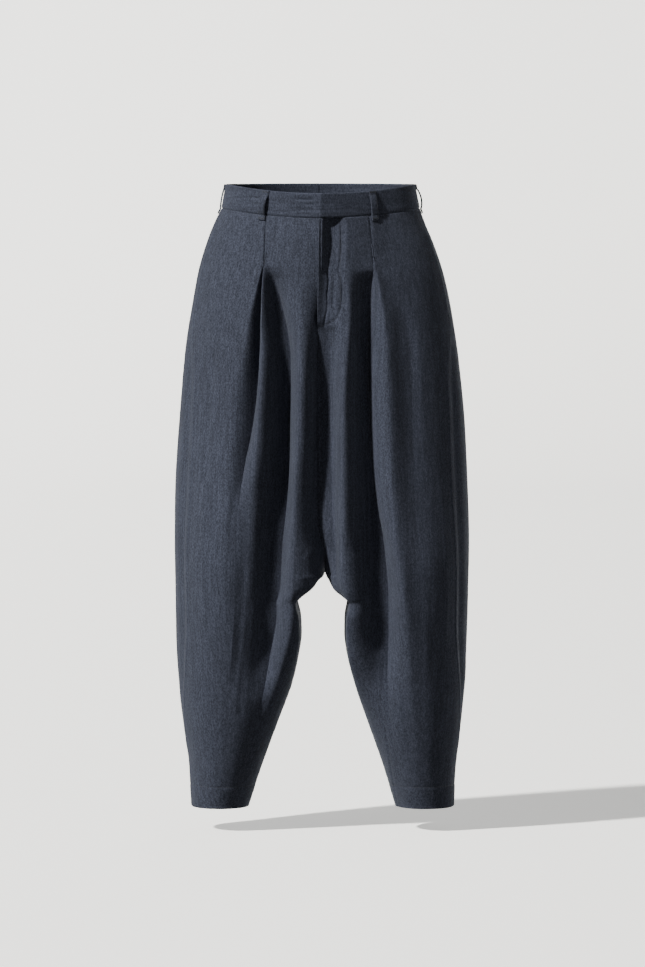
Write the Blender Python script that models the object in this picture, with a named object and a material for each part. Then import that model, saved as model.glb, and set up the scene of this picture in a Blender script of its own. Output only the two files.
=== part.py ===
"""Baggy drop-crotch trousers, filled out as if worn, with one stitched pleat in each front.

The pieces are the panels that a maker cuts: two fronts, two backs, two waistband halves and five belt loops.
+X is the wearer's left, -Y is the front and +Z is up. The origin is the centre of the waist, at the height
where the waistband is sewn on at the sides. Sizes are in metres."""

import math
from collections import namedtuple

import bmesh
import bpy
import numpy as np

# Cloth
PANEL_WALL = 0.0018
BAND_WALL = 0.0026
LOOP_WALL = 0.0015
SEAM_GAP = 0.0003

# Waist
BAND_HEIGHT = 0.036
FRONT_DIP = 0.013
BACK_RISE = 0.003
DIP_FADE = 0.25
BAND_LEAN_RIGHT = 0.004
BAND_LEAN_LEFT = 0.006
BAND_LEAN_DEPTH = 0.003

# Fly: the edge of the wearer's left front stands out over the right one down to here
FLY_LENGTH = 0.170
FLY_RAISE = 0.0021
FLY_BLEND = 0.015

# The wearer's left waistband half laps over the right one
BAND_LAP = 0.022
BAND_RAISE = 0.0034
BAND_RAISE_START = 0.032
BAND_RAISE_END = 0.052

# The halves part from each other away from the centre seam, so that they touch only there
PARTING = 0.03

# How flat the floor of a valley lies beside the wall of its pleat
FLOOR_POWER = 1.8

# A waistband half is divided into this many columns and rows of points
BAND_COLUMNS = 26
BAND_ROWS = 3

# Belt loops: LOOP_SEAT is the cloth under a sewn end, and LOOP_END the share of the length that is sewn flat
LOOP_WIDTH = 0.011
LOOP_CLEAR = 0.0072
LOOP_BELOW_SEAM = 0.008
LOOP_BELOW_TOP = 0.002
LOOP_SEAT = 0.0006
LOOP_END = 0.16
LOOP_FULLNESS = 0.7
LOOP_ROWS = 12
LOOP_COLUMNS = 2

# Edges that turn by more than this are drawn sharp
SHARP_ANGLE = math.radians(50.0)

# The step for reading a direction off a section, and the points that measure its length
SMALL_ANGLE = 0.0005
ARC_SAMPLES = 40

# The crotch, and the hem, measured down from the waistband seam
CROTCH = 0.571
HEM = 0.937

CLOTH_COLOUR = (0.042, 0.050, 0.072, 1.0)
CLOTH_ROUGHNESS = 0.92

# Half widths of the outline at each drop, and how far the section reaches forward and back
Level = namedtuple("Level", "drop side_right side_left front back")
LEVELS = [
    Level(0.000, 0.154, 0.156, 0.108, 0.110),
    Level(0.022, 0.165, 0.164, 0.113, 0.118),
    Level(0.050, 0.176, 0.176, 0.118, 0.128),
    Level(0.097, 0.190, 0.192, 0.126, 0.142),
    Level(0.144, 0.199, 0.203, 0.131, 0.149),
    Level(0.192, 0.207, 0.211, 0.135, 0.153),
    Level(0.239, 0.2125, 0.217, 0.138, 0.155),
    Level(0.333, 0.2205, 0.2265, 0.141, 0.155),
    Level(0.427, 0.2265, 0.231, 0.142, 0.151),
    Level(0.521, 0.228, 0.233, 0.141, 0.145),
    Level(0.615, 0.2262, 0.2315, 0.135, 0.137),
    Level(0.678, 0.225, 0.2298, 0.126, 0.128),
    Level(0.725, 0.223, 0.229, 0.118, 0.121),
    Level(0.772, 0.220, 0.226, 0.109, 0.112),
    Level(0.835, 0.2122, 0.2195, 0.093, 0.096),
    Level(0.867, 0.207, 0.215, 0.084, 0.087),
    Level(0.898, 0.205, 0.2125, 0.075, 0.078),
    Level(0.937, 0.2025, 0.211, 0.062, 0.066),
]

# The inner edge of each half: the centre seam down to the crotch, and the inseam below it
Inner = namedtuple("Inner", "drop right left")
INNER = [
    Inner(0.000, -0.001, -0.001),
    Inner(0.180, -0.0036, -0.0036),
    Inner(0.300, -0.0047, -0.0047),
    Inner(0.430, -0.0047, -0.0047),
    Inner(0.490, -0.003, -0.003),
    Inner(0.515, 0.002, 0.002),
    Inner(0.535, 0.0075, 0.0075),
    Inner(0.571, 0.0075, 0.0075),
    Inner(0.579, 0.000, 0.0115),
    Inner(0.592, -0.0095, 0.0185),
    Inner(0.604, -0.025, 0.033),
    Inner(0.614, -0.034, 0.042),
    Inner(0.642, -0.0305, 0.0395),
    Inner(0.667, -0.0305, 0.0395),
    Inner(0.694, -0.0345, 0.0425),
    Inner(0.741, -0.044, 0.0535),
    Inner(0.804, -0.066, 0.074),
    Inner(0.867, -0.088, 0.096),
    Inner(0.937, -0.1115, 0.118),
]

# The arch between the legs changes only the inner part of the section: the rest follows the rows outside it
ARCH_TOP = 0.430
ARCH_END = 0.690
BODY_INNER = [row for row in INNER if not ARCH_TOP < row.drop < ARCH_END]

# How far the section of one half turns, from its side to its inner edge, in degrees, and how blunt it is
# on its inner side: 2 is an ellipse, and more is squarer
Turn = namedtuple("Turn", "drop degrees bluntness")
TURNS = [
    Turn(0.000, 90.0, 2.0),
    Turn(0.180, 93.0, 2.0),
    Turn(0.300, 101.0, 2.2),
    Turn(0.400, 112.0, 2.6),
    Turn(0.470, 126.0, 3.0),
    Turn(0.520, 143.0, 3.3),
    Turn(0.550, 160.0, 3.5),
    Turn(0.565, 171.0, 3.6),
    Turn(0.571, 180.0, 3.7),
    Turn(0.614, 180.0, 4.6),
    Turn(0.680, 180.0, 3.8),
    Turn(0.772, 180.0, 2.8),
    Turn(0.867, 180.0, 2.2),
    Turn(0.937, 180.0, 2.0),
]

# A fold line runs down a panel: how far it lies from the centre, and how far it stands out or in.
# The run is the way that the cloth goes from the line before it, counted from the centre, to this one.
Place = namedtuple("Place", "drop across lift")
Fold = namedtuple("Fold", "run columns places")
STEEP_FIRST = "steep first"
STEEP_LAST = "steep last"
FLOOR_FIRST = "floor first"
FLOOR_LAST = "floor last"
SOFT = "soft"

FRONT_RIGHT_FOLDS = [
    Fold(STEEP_FIRST, 5, [
        Place(0.014, 0.038, 0.000), Place(0.089, 0.035, 0.002), Place(0.190, 0.031, 0.007),
        Place(0.301, 0.031, 0.009), Place(0.380, 0.034, 0.009), Place(0.458, 0.040, 0.008),
        Place(0.537, 0.045, 0.007), Place(0.600, 0.046, 0.005), Place(0.678, 0.053, 0.004),
        Place(0.725, 0.058, 0.003), Place(0.772, 0.068, 0.002), Place(0.867, 0.100, 0.001),
        Place(0.937, 0.1165, 0.000)]),
    Fold(STEEP_LAST, 3, [
        Place(0.014, 0.070, 0.000), Place(0.089, 0.080, -0.001), Place(0.113, 0.078, -0.007),
        Place(0.140, 0.070, -0.011), Place(0.168, 0.062, -0.014), Place(0.190, 0.055, -0.016),
        Place(0.223, 0.0495, -0.018), Place(0.301, 0.0475, -0.020), Place(0.380, 0.047, -0.020),
        Place(0.458, 0.0515, -0.019), Place(0.537, 0.061, -0.018), Place(0.600, 0.0675, -0.017),
        Place(0.678, 0.0755, -0.013), Place(0.725, 0.081, -0.009), Place(0.772, 0.091, -0.005),
        Place(0.867, 0.114, -0.002), Place(0.937, 0.123, 0.000)]),
    Fold(FLOOR_FIRST, 5, [
        Place(0.014, 0.080, 0.000), Place(0.089, 0.0868, 0.001), Place(0.113, 0.0885, 0.003),
        Place(0.168, 0.089, 0.006), Place(0.223, 0.089, 0.008), Place(0.301, 0.0915, 0.009),
        Place(0.380, 0.098, 0.010), Place(0.490, 0.110, 0.008), Place(0.590, 0.118, 0.006),
        Place(0.678, 0.126, 0.004), Place(0.772, 0.132, 0.002), Place(0.937, 0.138, 0.000)]),
    Fold(STEEP_LAST, 3, [
        Place(0.014, 0.085, -0.0005), Place(0.089, 0.0878, -0.002), Place(0.113, 0.0925, -0.008),
        Place(0.168, 0.0968, -0.014), Place(0.223, 0.0985, -0.016), Place(0.301, 0.1035, -0.014),
        Place(0.350, 0.112, -0.010), Place(0.397, 0.120, -0.005), Place(0.450, 0.127, 0.002),
        Place(0.490, 0.132, 0.005), Place(0.590, 0.136, 0.004), Place(0.678, 0.141, 0.003),
        Place(0.937, 0.148, 0.000)]),
    Fold(FLOOR_FIRST, 3, [
        Place(0.014, 0.092, 0.000), Place(0.089, 0.0905, 0.001), Place(0.113, 0.0975, 0.003),
        Place(0.168, 0.1145, 0.006), Place(0.223, 0.1225, 0.007), Place(0.301, 0.135, 0.006),
        Place(0.350, 0.139, 0.005), Place(0.397, 0.141, 0.005), Place(0.490, 0.146, 0.004),
        Place(0.590, 0.150, 0.003), Place(0.678, 0.152, 0.002), Place(0.937, 0.158, 0.000)]),
]

FRONT_LEFT_FOLDS = [
    Fold(SOFT, 2, [
        Place(0.000, 0.016, -0.001), Place(0.014, 0.0175, -0.003), Place(0.040, 0.0165, -0.004),
        Place(0.070, 0.0155, -0.004), Place(0.113, 0.0125, -0.0015), Place(0.140, 0.010, 0.0005),
        Place(0.160, 0.008, 0.000), Place(0.175, 0.008, -0.003), Place(0.190, 0.0115, -0.010),
        Place(0.215, 0.013, -0.015), Place(0.250, 0.0145, -0.018), Place(0.301, 0.015, -0.019),
        Place(0.360, 0.0145, -0.018), Place(0.430, 0.0145, -0.016), Place(0.490, 0.0155, -0.012),
        Place(0.530, 0.0175, -0.007), Place(0.571, 0.022, -0.003), Place(0.590, 0.031, 0.001),
        Place(0.614, 0.0465, 0.002), Place(0.678, 0.050, 0.003), Place(0.725, 0.058, 0.002),
        Place(0.772, 0.066, 0.001), Place(0.867, 0.100, 0.001), Place(0.937, 0.1205, 0.000)]),
    Fold(STEEP_FIRST, 4, [
        Place(0.014, 0.040, 0.0026), Place(0.150, 0.036, 0.0026), Place(0.190, 0.033, 0.004),
        Place(0.301, 0.034, 0.008), Place(0.397, 0.036, 0.009), Place(0.490, 0.036, 0.009),
        Place(0.542, 0.038, 0.009), Place(0.590, 0.043, 0.008), Place(0.615, 0.0515, 0.007),
        Place(0.678, 0.058, 0.005), Place(0.725, 0.064, 0.003), Place(0.772, 0.076, 0.002),
        Place(0.867, 0.105, 0.001), Place(0.937, 0.125, 0.000)]),
    Fold(FLOOR_LAST, 5, [
        Place(0.014, 0.0765, 0.000), Place(0.089, 0.0832, -0.001), Place(0.113, 0.0818, -0.007),
        Place(0.150, 0.0797, -0.012), Place(0.190, 0.078, -0.016), Place(0.250, 0.0785, -0.019),
        Place(0.301, 0.0805, -0.020), Place(0.380, 0.0825, -0.020), Place(0.458, 0.088, -0.020),
        Place(0.537, 0.098, -0.019), Place(0.600, 0.102, -0.018), Place(0.637, 0.105, -0.017),
        Place(0.678, 0.105, -0.014), Place(0.725, 0.101, -0.009), Place(0.772, 0.101, -0.004),
        Place(0.867, 0.121, 0.000), Place(0.937, 0.135, 0.000)]),
    Fold(STEEP_FIRST, 3, [
        Place(0.014, 0.0785, 0.000), Place(0.089, 0.0845, 0.001), Place(0.113, 0.0895, 0.003),
        Place(0.168, 0.0967, 0.006), Place(0.223, 0.1005, 0.008), Place(0.301, 0.1045, 0.009),
        Place(0.397, 0.110, 0.009), Place(0.490, 0.116, 0.008), Place(0.590, 0.130, 0.008),
        Place(0.678, 0.138, 0.006), Place(0.772, 0.144, 0.003), Place(0.937, 0.153, 0.000)]),
    Fold(FLOOR_LAST, 3, [
        Place(0.014, 0.095, 0.000), Place(0.089, 0.098, 0.000), Place(0.130, 0.110, -0.001),
        Place(0.190, 0.125, -0.001), Place(0.301, 0.133, -0.001), Place(0.380, 0.136, 0.000),
        Place(0.458, 0.140, 0.002), Place(0.590, 0.150, 0.003), Place(0.678, 0.155, 0.0025),
        Place(0.772, 0.158, 0.001), Place(0.937, 0.163, 0.000)]),
    Fold(SOFT, 3, [
        Place(0.014, 0.110, 0.000), Place(0.089, 0.115, 0.000), Place(0.130, 0.130, 0.001),
        Place(0.190, 0.148, 0.002), Place(0.301, 0.152, 0.002), Place(0.380, 0.152, 0.002),
        Place(0.458, 0.158, 0.002), Place(0.590, 0.166, 0.002), Place(0.678, 0.170, 0.001),
        Place(0.937, 0.178, 0.000)]),
]

# The folds of the backs, from the centre outward, hang from the seat
BACK_RIGHT_FOLDS = [
    Fold(STEEP_FIRST, 3, [
        Place(0.014, 0.028, 0.000), Place(0.200, 0.036, 0.004), Place(0.450, 0.042, 0.006),
        Place(0.600, 0.056, 0.005), Place(0.800, 0.086, 0.002), Place(0.937, 0.119, 0.000)]),
    Fold(STEEP_LAST, 2, [
        Place(0.014, 0.050, 0.000), Place(0.200, 0.064, -0.007), Place(0.450, 0.070, -0.013),
        Place(0.600, 0.082, -0.012), Place(0.800, 0.105, -0.004), Place(0.937, 0.127, 0.000)]),
    Fold(STEEP_FIRST, 3, [
        Place(0.014, 0.078, 0.000), Place(0.200, 0.102, 0.004), Place(0.450, 0.110, 0.005),
        Place(0.600, 0.116, 0.004), Place(0.800, 0.126, 0.001), Place(0.937, 0.140, 0.000)]),
    Fold(STEEP_LAST, 2, [
        Place(0.014, 0.100, 0.000), Place(0.200, 0.134, -0.005), Place(0.450, 0.142, -0.008),
        Place(0.600, 0.144, -0.006), Place(0.800, 0.146, -0.002), Place(0.937, 0.152, 0.000)]),
    Fold(STEEP_FIRST, 2, [
        Place(0.014, 0.120, 0.000), Place(0.200, 0.162, 0.002), Place(0.450, 0.172, 0.003),
        Place(0.600, 0.172, 0.002), Place(0.800, 0.168, 0.000), Place(0.937, 0.168, 0.000)]),
]

BACK_LEFT_FOLDS = [
    Fold(STEEP_FIRST, 3, [
        Place(0.014, 0.026, 0.000), Place(0.230, 0.034, 0.004), Place(0.420, 0.040, 0.006),
        Place(0.600, 0.060, 0.005), Place(0.780, 0.082, 0.002), Place(0.937, 0.125, 0.000)]),
    Fold(STEEP_LAST, 2, [
        Place(0.014, 0.046, 0.000), Place(0.230, 0.058, -0.008), Place(0.420, 0.064, -0.012),
        Place(0.600, 0.084, -0.013), Place(0.780, 0.104, -0.005), Place(0.937, 0.134, 0.000)]),
    Fold(STEEP_FIRST, 3, [
        Place(0.014, 0.074, 0.000), Place(0.230, 0.094, 0.004), Place(0.420, 0.102, 0.005),
        Place(0.600, 0.120, 0.004), Place(0.780, 0.132, 0.002), Place(0.937, 0.147, 0.000)]),
    Fold(STEEP_LAST, 2, [
        Place(0.014, 0.098, 0.000), Place(0.230, 0.128, -0.004), Place(0.420, 0.138, -0.007),
        Place(0.600, 0.150, -0.006), Place(0.780, 0.154, -0.002), Place(0.937, 0.160, 0.000)]),
    Fold(STEEP_FIRST, 2, [
        Place(0.014, 0.120, 0.000), Place(0.230, 0.158, 0.002), Place(0.420, 0.170, 0.003),
        Place(0.600, 0.178, 0.002), Place(0.780, 0.176, 0.000), Place(0.937, 0.175, 0.000)]),
]

# The centre seams lie in a valley below the fly, and below the seat at the back
Seam = namedtuple("Seam", "drop front_right front_left back")
CENTRE_SEAMS = [
    Seam(0.000, 0.000, 0.000, 0.000),
    Seam(0.100, -0.001, 0.000, 0.000),
    Seam(0.130, -0.004, 0.000, 0.000),
    Seam(0.150, -0.007, 0.000, -0.001),
    Seam(0.172, -0.010, -0.004, -0.002),
    Seam(0.195, -0.012, -0.012, -0.003),
    Seam(0.250, -0.016, -0.016, -0.005),
    Seam(0.301, -0.018, -0.018, -0.006),
    Seam(0.397, -0.018, -0.018, -0.008),
    Seam(0.490, -0.012, -0.012, -0.006),
    Seam(0.545, -0.004, -0.004, -0.002),
    Seam(0.571, 0.000, 0.000, 0.000),
    Seam(0.937, 0.000, 0.000, 0.000),
]

# The side seam lies in front of the outline, by this angle
SideSeam = namedtuple("SideSeam", "drop degrees")
SIDE_SEAM = [
    SideSeam(0.000, 12.0),
    SideSeam(0.150, 14.0),
    SideSeam(0.200, 19.0),
    SideSeam(0.270, 26.0),
    SideSeam(0.450, 32.0),
    SideSeam(0.650, 34.0),
    SideSeam(0.720, 29.0),
    SideSeam(0.770, 22.0),
    SideSeam(0.850, 14.0),
    SideSeam(0.937, 12.0),
]

Half = namedtuple("Half", "name sign side inner front_folds back_folds lean")
RIGHT = Half("right", -1.0, "side_right", "right", FRONT_RIGHT_FOLDS, BACK_RIGHT_FOLDS, BAND_LEAN_RIGHT)
LEFT = Half("left", 1.0, "side_left", "left", FRONT_LEFT_FOLDS, BACK_LEFT_FOLDS, BAND_LEAN_LEFT)

SIDE_COLUMNS_FRONT = 6
SIDE_COLUMNS_BACK = 4

# Where the belt loops are sewn on: their distance from the centre, and how far the foot is shifted outward
Loop = namedtuple("Loop", "name half across foot_shift is_front")
LOOPS = [
    Loop("loop_front_right", RIGHT, 0.083, 0.005, True),
    Loop("loop_front_left", LEFT, 0.080, 0.005, True),
    Loop("loop_side_right", RIGHT, 0.160, 0.000, False),
    Loop("loop_side_left", LEFT, 0.160, 0.000, False),
    Loop("loop_back", LEFT, 0.000, 0.000, False),
]

# The rows of the panels: close together where the legs part, wider apart elsewhere
Run = namedtuple("Run", "end rows")
ROW_RUNS = [
    Run(0.030, 2),
    Run(0.150, 4),
    Run(0.200, 3),
    Run(0.500, 8),
    Run(0.571, 4),
    Run(0.614, 5),
    Run(0.800, 6),
    Run(HEM, 4),
]


def smooth(table, column, at):
    """Reads a column of a table between its rows, on a cubic that never overshoots a row."""
    places = np.array([row.drop for row in table])
    values = np.array([getattr(row, column) for row in table])
    at = np.clip(at, places[0], places[-1])
    steps = np.diff(places)
    slopes = np.diff(values) / steps
    tangents = np.zeros(len(places))
    tangents[0] = slopes[0]
    tangents[-1] = slopes[-1]
    rising = slopes[:-1] * slopes[1:] > 0.0
    weight = np.where(rising, slopes[:-1] + slopes[1:], 1.0)
    tangents[1:-1] = np.where(rising, 2.0 * slopes[:-1] * slopes[1:] / weight, 0.0)
    index = np.clip(np.searchsorted(places, at, side="right") - 1, 0, len(steps) - 1)
    step = steps[index]
    part = (at - places[index]) / step
    bend = part * part * (3.0 - 2.0 * part)
    start_pull = step * tangents[index] * part * (1.0 - part) ** 2
    end_pull = step * tangents[index + 1] * part * part * (1.0 - part)
    return values[index] * (1.0 - bend) + values[index + 1] * bend + start_pull - end_pull


def fade(value, start, end):
    """Goes smoothly from 1 at start to 0 at end."""
    part = min(max((value - start) / (end - start), 0.0), 1.0)
    return 1.0 - part * part * (3.0 - 2.0 * part)


def row_drops():
    drops = [0.0]
    for run in ROW_RUNS:
        start = drops[-1]
        drops += [start + (run.end - start) * (row + 1) / run.rows for row in range(run.rows)]
    return drops


class Section:
    """The horizontal section of one half at one drop: part of an ellipse from its side to its inner edge."""

    def __init__(self, half, drop, above=0.0):
        lean = above / BAND_HEIGHT
        self.half = half
        self.drop = drop
        self.above = above
        self.side = float(smooth(LEVELS, half.side, drop)) - half.lean * lean
        self.inner = half.sign * float(smooth(INNER, half.inner, drop))
        self.turn = math.radians(float(smooth(TURNS, "degrees", drop)))
        self.bluntness = float(smooth(TURNS, "bluntness", drop))
        body = half.sign * float(smooth(BODY_INNER, half.inner, drop))
        self.reach = (self.side - body) / (1.0 - math.cos(self.turn))
        self.centre = self.side - self.reach
        self.inner_reach = self.reach
        if drop > ARCH_TOP:
            self.inner_reach = (self.centre - self.inner) / -math.cos(self.turn)
        self.front = float(smooth(LEVELS, "front", drop)) - BAND_LEAN_DEPTH * lean
        self.back = float(smooth(LEVELS, "back", drop)) - BAND_LEAN_DEPTH * lean

    def angle(self, across):
        reach = self.reach if across > self.centre else self.inner_reach
        return math.acos(min(max((across - self.centre) / reach, -1.0), 1.0))

    def height(self, angle):
        """The waist dips at the front and rises at the back, and the rows below follow it for a while."""
        change = -FRONT_DIP if angle > 0.0 else BACK_RISE
        return self.above - self.drop + change * math.sin(angle) ** 2 * fade(self.drop, 0.0, DIP_FADE)

    def flat(self, angle):
        """The distance from the centre, and the depth, at an angle from the side. Forward is positive."""
        turned = math.cos(angle)
        power = self.bluntness if turned < 0.0 else 2.0
        rounded = max(1.0 - abs(turned) ** power, 0.0) ** (1.0 / power)
        depth = -self.front * rounded if angle > 0.0 else self.back * rounded
        reach = self.reach if turned > 0.0 else self.inner_reach
        return self.centre + reach * turned, depth

    def normal(self, angle):
        """The outward direction, level, as distance from the centre and depth."""
        before = self.flat(max(angle - SMALL_ANGLE, -math.pi))
        after = self.flat(min(angle + SMALL_ANGLE, math.pi))
        across = before[1] - after[1]
        depth = after[0] - before[0]
        size = math.hypot(across, depth)
        return across / size, depth / size

    def point(self, angle, lift=0.0, sideways=1.0):
        """The point at an angle from the side, moved out by lift."""
        across, depth = self.flat(angle)
        out = self.normal(angle)
        across += 0.5 * SEAM_GAP + out[0] * lift * sideways
        depth += out[1] * lift
        if self.drop > 0.0:
            edge_depth = self.flat(math.copysign(self.turn, angle))[1]
            across = max(across, self.inner + 0.5 * SEAM_GAP + PARTING * abs(depth - edge_depth))
        return np.array([self.half.sign * across, depth, self.height(angle)])

    def spread(self, start, end, count):
        """Angles at equal steps along the section, from start up to but not at end."""
        angles = np.linspace(start, end, ARC_SAMPLES + 1)
        places = np.array([self.flat(angle) for angle in angles])
        lengths = np.concatenate([[0.0], np.cumsum(np.linalg.norm(np.diff(places, axis=0), axis=1))])
        return np.interp(np.arange(count) * lengths[-1] / count, lengths, angles)


def ease(part, run):
    """The way from one fold line to the next, from 0 to 1."""
    if run == STEEP_FIRST:
        return math.sin(0.5 * math.pi * part)
    if run == STEEP_LAST:
        return 1.0 - math.cos(0.5 * math.pi * part)
    if run == FLOOR_FIRST:
        part = part ** FLOOR_POWER
    if run == FLOOR_LAST:
        return 1.0 - ease((1.0 - part) ** FLOOR_POWER, SOFT)
    return part * part * (3.0 - 2.0 * part)


def side_seam_angle(drop):
    return math.radians(float(smooth(SIDE_SEAM, "degrees", drop)))


def fly_raise(half, drop):
    return FLY_RAISE * fade(drop, FLY_LENGTH, FLY_LENGTH + FLY_BLEND) if half is LEFT else 0.0


def lines_of(half, section, is_front):
    """The lines across one panel at one drop, from the inner edge to the side seam: angle and lift."""
    seam = float(smooth(CENTRE_SEAMS, "front_" + half.name if is_front else "back", section.drop))
    if is_front:
        seam += fly_raise(half, section.drop)
    found = [(section.turn, seam)]
    for fold in half.front_folds if is_front else half.back_folds:
        across = float(smooth(fold.places, "across", section.drop))
        lift = float(smooth(fold.places, "lift", section.drop))
        found.append((section.angle(across), lift))
    found.append((side_seam_angle(section.drop) * (1.0 if is_front else -1.0), 0.0))
    return found


def panel_row(half, drop, is_front):
    """The points of one row of a panel, from its inner edge to the side seam."""
    section = Section(half, drop)
    lines = lines_of(half, section, is_front)
    folds = half.front_folds if is_front else half.back_folds
    counts = [fold.columns for fold in folds] + [SIDE_COLUMNS_FRONT if is_front else SIDE_COLUMNS_BACK]
    runs = [fold.run for fold in folds] + [SOFT]
    side = 1.0 if is_front else -1.0
    points = []
    for number, count in enumerate(counts):
        angle, lift = lines[number]
        next_angle, next_lift = lines[number + 1]
        for column, here in enumerate(section.spread(side * angle, side * next_angle, count)):
            part = column / count
            sideways = part if number == 0 else 1.0
            out = lift + (next_lift - lift) * ease(part, runs[number])
            points.append(section.point(here, out, sideways))
    points.append(section.point(side_seam_angle(drop)))
    return points


def half_rows(half):
    """All points of one half, in one grid from the front edge round to the back edge, and its side seam."""
    fronts = [panel_row(half, drop, True) for drop in row_drops()]
    backs = [panel_row(half, drop, False) for drop in row_drops()]
    rows = [front + back[-2::-1] for front, back in zip(fronts, backs)]
    return np.array(rows), len(fronts[0]) - 1


def normals_of(points, outward, joined):
    """Outward directions of a grid of points. The two edges share one where joined says so."""
    across = np.empty_like(points)
    across[:, 1:-1] = points[:, 2:] - points[:, :-2]
    across[:, 0] = points[:, 1] - points[:, 0]
    across[:, -1] = points[:, -1] - points[:, -2]
    for row in np.flatnonzero(joined):
        across[row, 0] = across[row, -1] = points[row, 1] - points[row, -2]
    down = np.gradient(points, axis=0)
    found = np.cross(down, across) * outward
    return found / np.linalg.norm(found, axis=2, keepdims=True)


def trimmed(points, first, last):
    """Draws the edge columns in by half a seam gap, and leaves the rest."""
    points = points.copy()
    for edge, beside, wanted in ((0, 1, first), (-1, -2, last)):
        step = points[:, beside] - points[:, edge]
        step /= np.linalg.norm(step, axis=1, keepdims=True)
        points[:, edge] += step * 0.5 * SEAM_GAP * np.reshape(wanted, (-1, 1))
    return points


def cloth_material(name):
    material = bpy.data.materials.new(name + "_cloth")
    material.use_nodes = True
    shader = material.node_tree.nodes["Principled BSDF"]
    shader.inputs["Base Color"].default_value = CLOTH_COLOUR
    shader.inputs["Roughness"].default_value = CLOTH_ROUGHNESS
    shader.inputs["Metallic"].default_value = 0.0
    material.diffuse_color = CLOTH_COLOUR
    return material


def sheet(name, outer, inner, collection):
    """A thick sheet: a grid moved onto the outer points, extruded, and its copy moved onto the inner ones."""
    rows, columns = outer.shape[:2]
    shape = bmesh.new()
    bmesh.ops.create_grid(shape, x_segments=columns - 1, y_segments=rows - 1, size=0.5)
    place = shape.verts.layers.int.new("place")
    for vertex in shape.verts:
        column = round((vertex.co.x + 0.5) * (columns - 1))
        row = round((vertex.co.y + 0.5) * (rows - 1))
        vertex[place] = row * columns + column
        vertex.co = outer[row, column]
    copied = bmesh.ops.extrude_face_region(shape, geom=shape.faces[:], use_keep_orig=True)["geom"]
    for vertex in copied:
        if isinstance(vertex, bmesh.types.BMVert):
            vertex.co = inner[divmod(vertex[place], columns)]
    bmesh.ops.recalc_face_normals(shape, faces=shape.faces)
    mesh = bpy.data.meshes.new(name)
    shape.to_mesh(mesh)
    shape.free()
    mesh.shade_smooth()
    mesh.set_sharp_from_angle(angle=SHARP_ANGLE)
    mesh.materials.append(cloth_material(name))
    made = bpy.data.objects.new(name, mesh)
    collection.objects.link(made)
    return made


def make_panels(half, collection):
    points, seam = half_rows(half)
    below_crotch = np.array([drop >= CROTCH - 1e-6 for drop in row_drops()])
    out = normals_of(points, half.sign, below_crotch)
    for edge in (0, -1):
        toward_centre = -half.sign
        lean = out[:, edge, 0] * toward_centre
        out[:, edge, 0] = np.where(below_crotch, out[:, edge, 0], np.maximum(lean, 0.0) * toward_centre)
    inside = points - out * PANEL_WALL
    ones = np.ones(len(points))
    inseam = below_crotch.astype(float)
    below_band = np.array([0.0, 0.0, 0.5 * SEAM_GAP])
    for name, span, first, last in (
        ("front", slice(0, seam + 1), inseam, ones),
        ("back", slice(seam, None), ones, inseam),
    ):
        outer = trimmed(points[:, span], first, last)
        inner = trimmed(inside[:, span], first, last)
        outer[0] -= below_band
        inner[0] -= below_band
        inner[0, :, 2] = outer[0, :, 2]
        inner[-1, :, 2] = outer[-1, :, 2]
        sheet(f"{name}_{half.name}", outer, inner, collection)


def band_lift(half, angle, section):
    """The wearer's left waistband stands out where it laps over the right one."""
    if half is RIGHT or angle < 0.0:
        return 0.0
    across = section.centre + section.reach * math.cos(angle) - section.inner
    return BAND_RAISE * fade(across, BAND_RAISE_START, BAND_RAISE_END)


def make_band(half, collection):
    outer = []
    inner = []
    for row in range(BAND_ROWS):
        above = BAND_HEIGHT * (1.0 - row / (BAND_ROWS - 1))
        section = Section(half, 0.0, above)
        lap = BAND_LAP / section.reach if half is RIGHT else 0.0
        start = section.turn + lap
        outside = []
        inside = []
        for column in range(BAND_COLUMNS + 1):
            angle = start - (start + section.turn) * column / BAND_COLUMNS
            lift = band_lift(half, angle, section)
            outside.append(section.point(angle, lift))
            inside.append(section.point(angle, lift - BAND_WALL))
        outer.append(outside)
        inner.append(inside)
    outer = np.array(outer)
    inner = np.array(inner)
    for points in (outer, inner):
        points[-1, :, 2] += 0.5 * SEAM_GAP
    sheet(f"waistband_{half.name}", outer, inner, collection)


def loop_lift(part):
    """A belt loop is sewn flat at both ends and stands out between them."""
    inside = min(max((part - LOOP_END) / (1.0 - 2.0 * LOOP_END), 0.0), 1.0)
    return LOOP_SEAT + LOOP_CLEAR * math.sin(math.pi * inside) ** LOOP_FULLNESS


def make_loop(loop, collection):
    """A belt loop, from its foot below the waistband seam up to the top edge."""
    outer = []
    inner = []
    for row in range(LOOP_ROWS + 1):
        part = row / LOOP_ROWS
        height = -LOOP_BELOW_SEAM + part * (BAND_HEIGHT - LOOP_BELOW_TOP + LOOP_BELOW_SEAM)
        section = Section(loop.half, max(-height, 0.0), max(height, 0.0))
        angle = section.angle(loop.across + loop.foot_shift * (1.0 - part))
        lift = loop_lift(part)
        outside = []
        inside = []
        for column in range(LOOP_COLUMNS + 1):
            shift = LOOP_WIDTH * (column / LOOP_COLUMNS - 0.5)
            radius = math.hypot(section.reach * math.sin(angle), section.front * math.cos(angle))
            here = angle + shift / radius
            here = here if loop.is_front else -here
            outside.append(section.point(here, lift + LOOP_WALL))
            inside.append(section.point(here, lift))
        outer.append(outside)
        inner.append(inside)
    sheet(loop.name, np.array(outer), np.array(inner), collection)


def clear_scene():
    for old in list(bpy.data.objects):
        bpy.data.objects.remove(old, do_unlink=True)


def main():
    clear_scene()
    collection = bpy.data.collections.new("baggy_trousers")
    bpy.context.scene.collection.children.link(collection)
    for half in (RIGHT, LEFT):
        make_panels(half, collection)
        make_band(half, collection)
    for loop in LOOPS:
        make_loop(loop, collection)


main()
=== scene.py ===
import functools
import math
from collections import namedtuple

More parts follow.
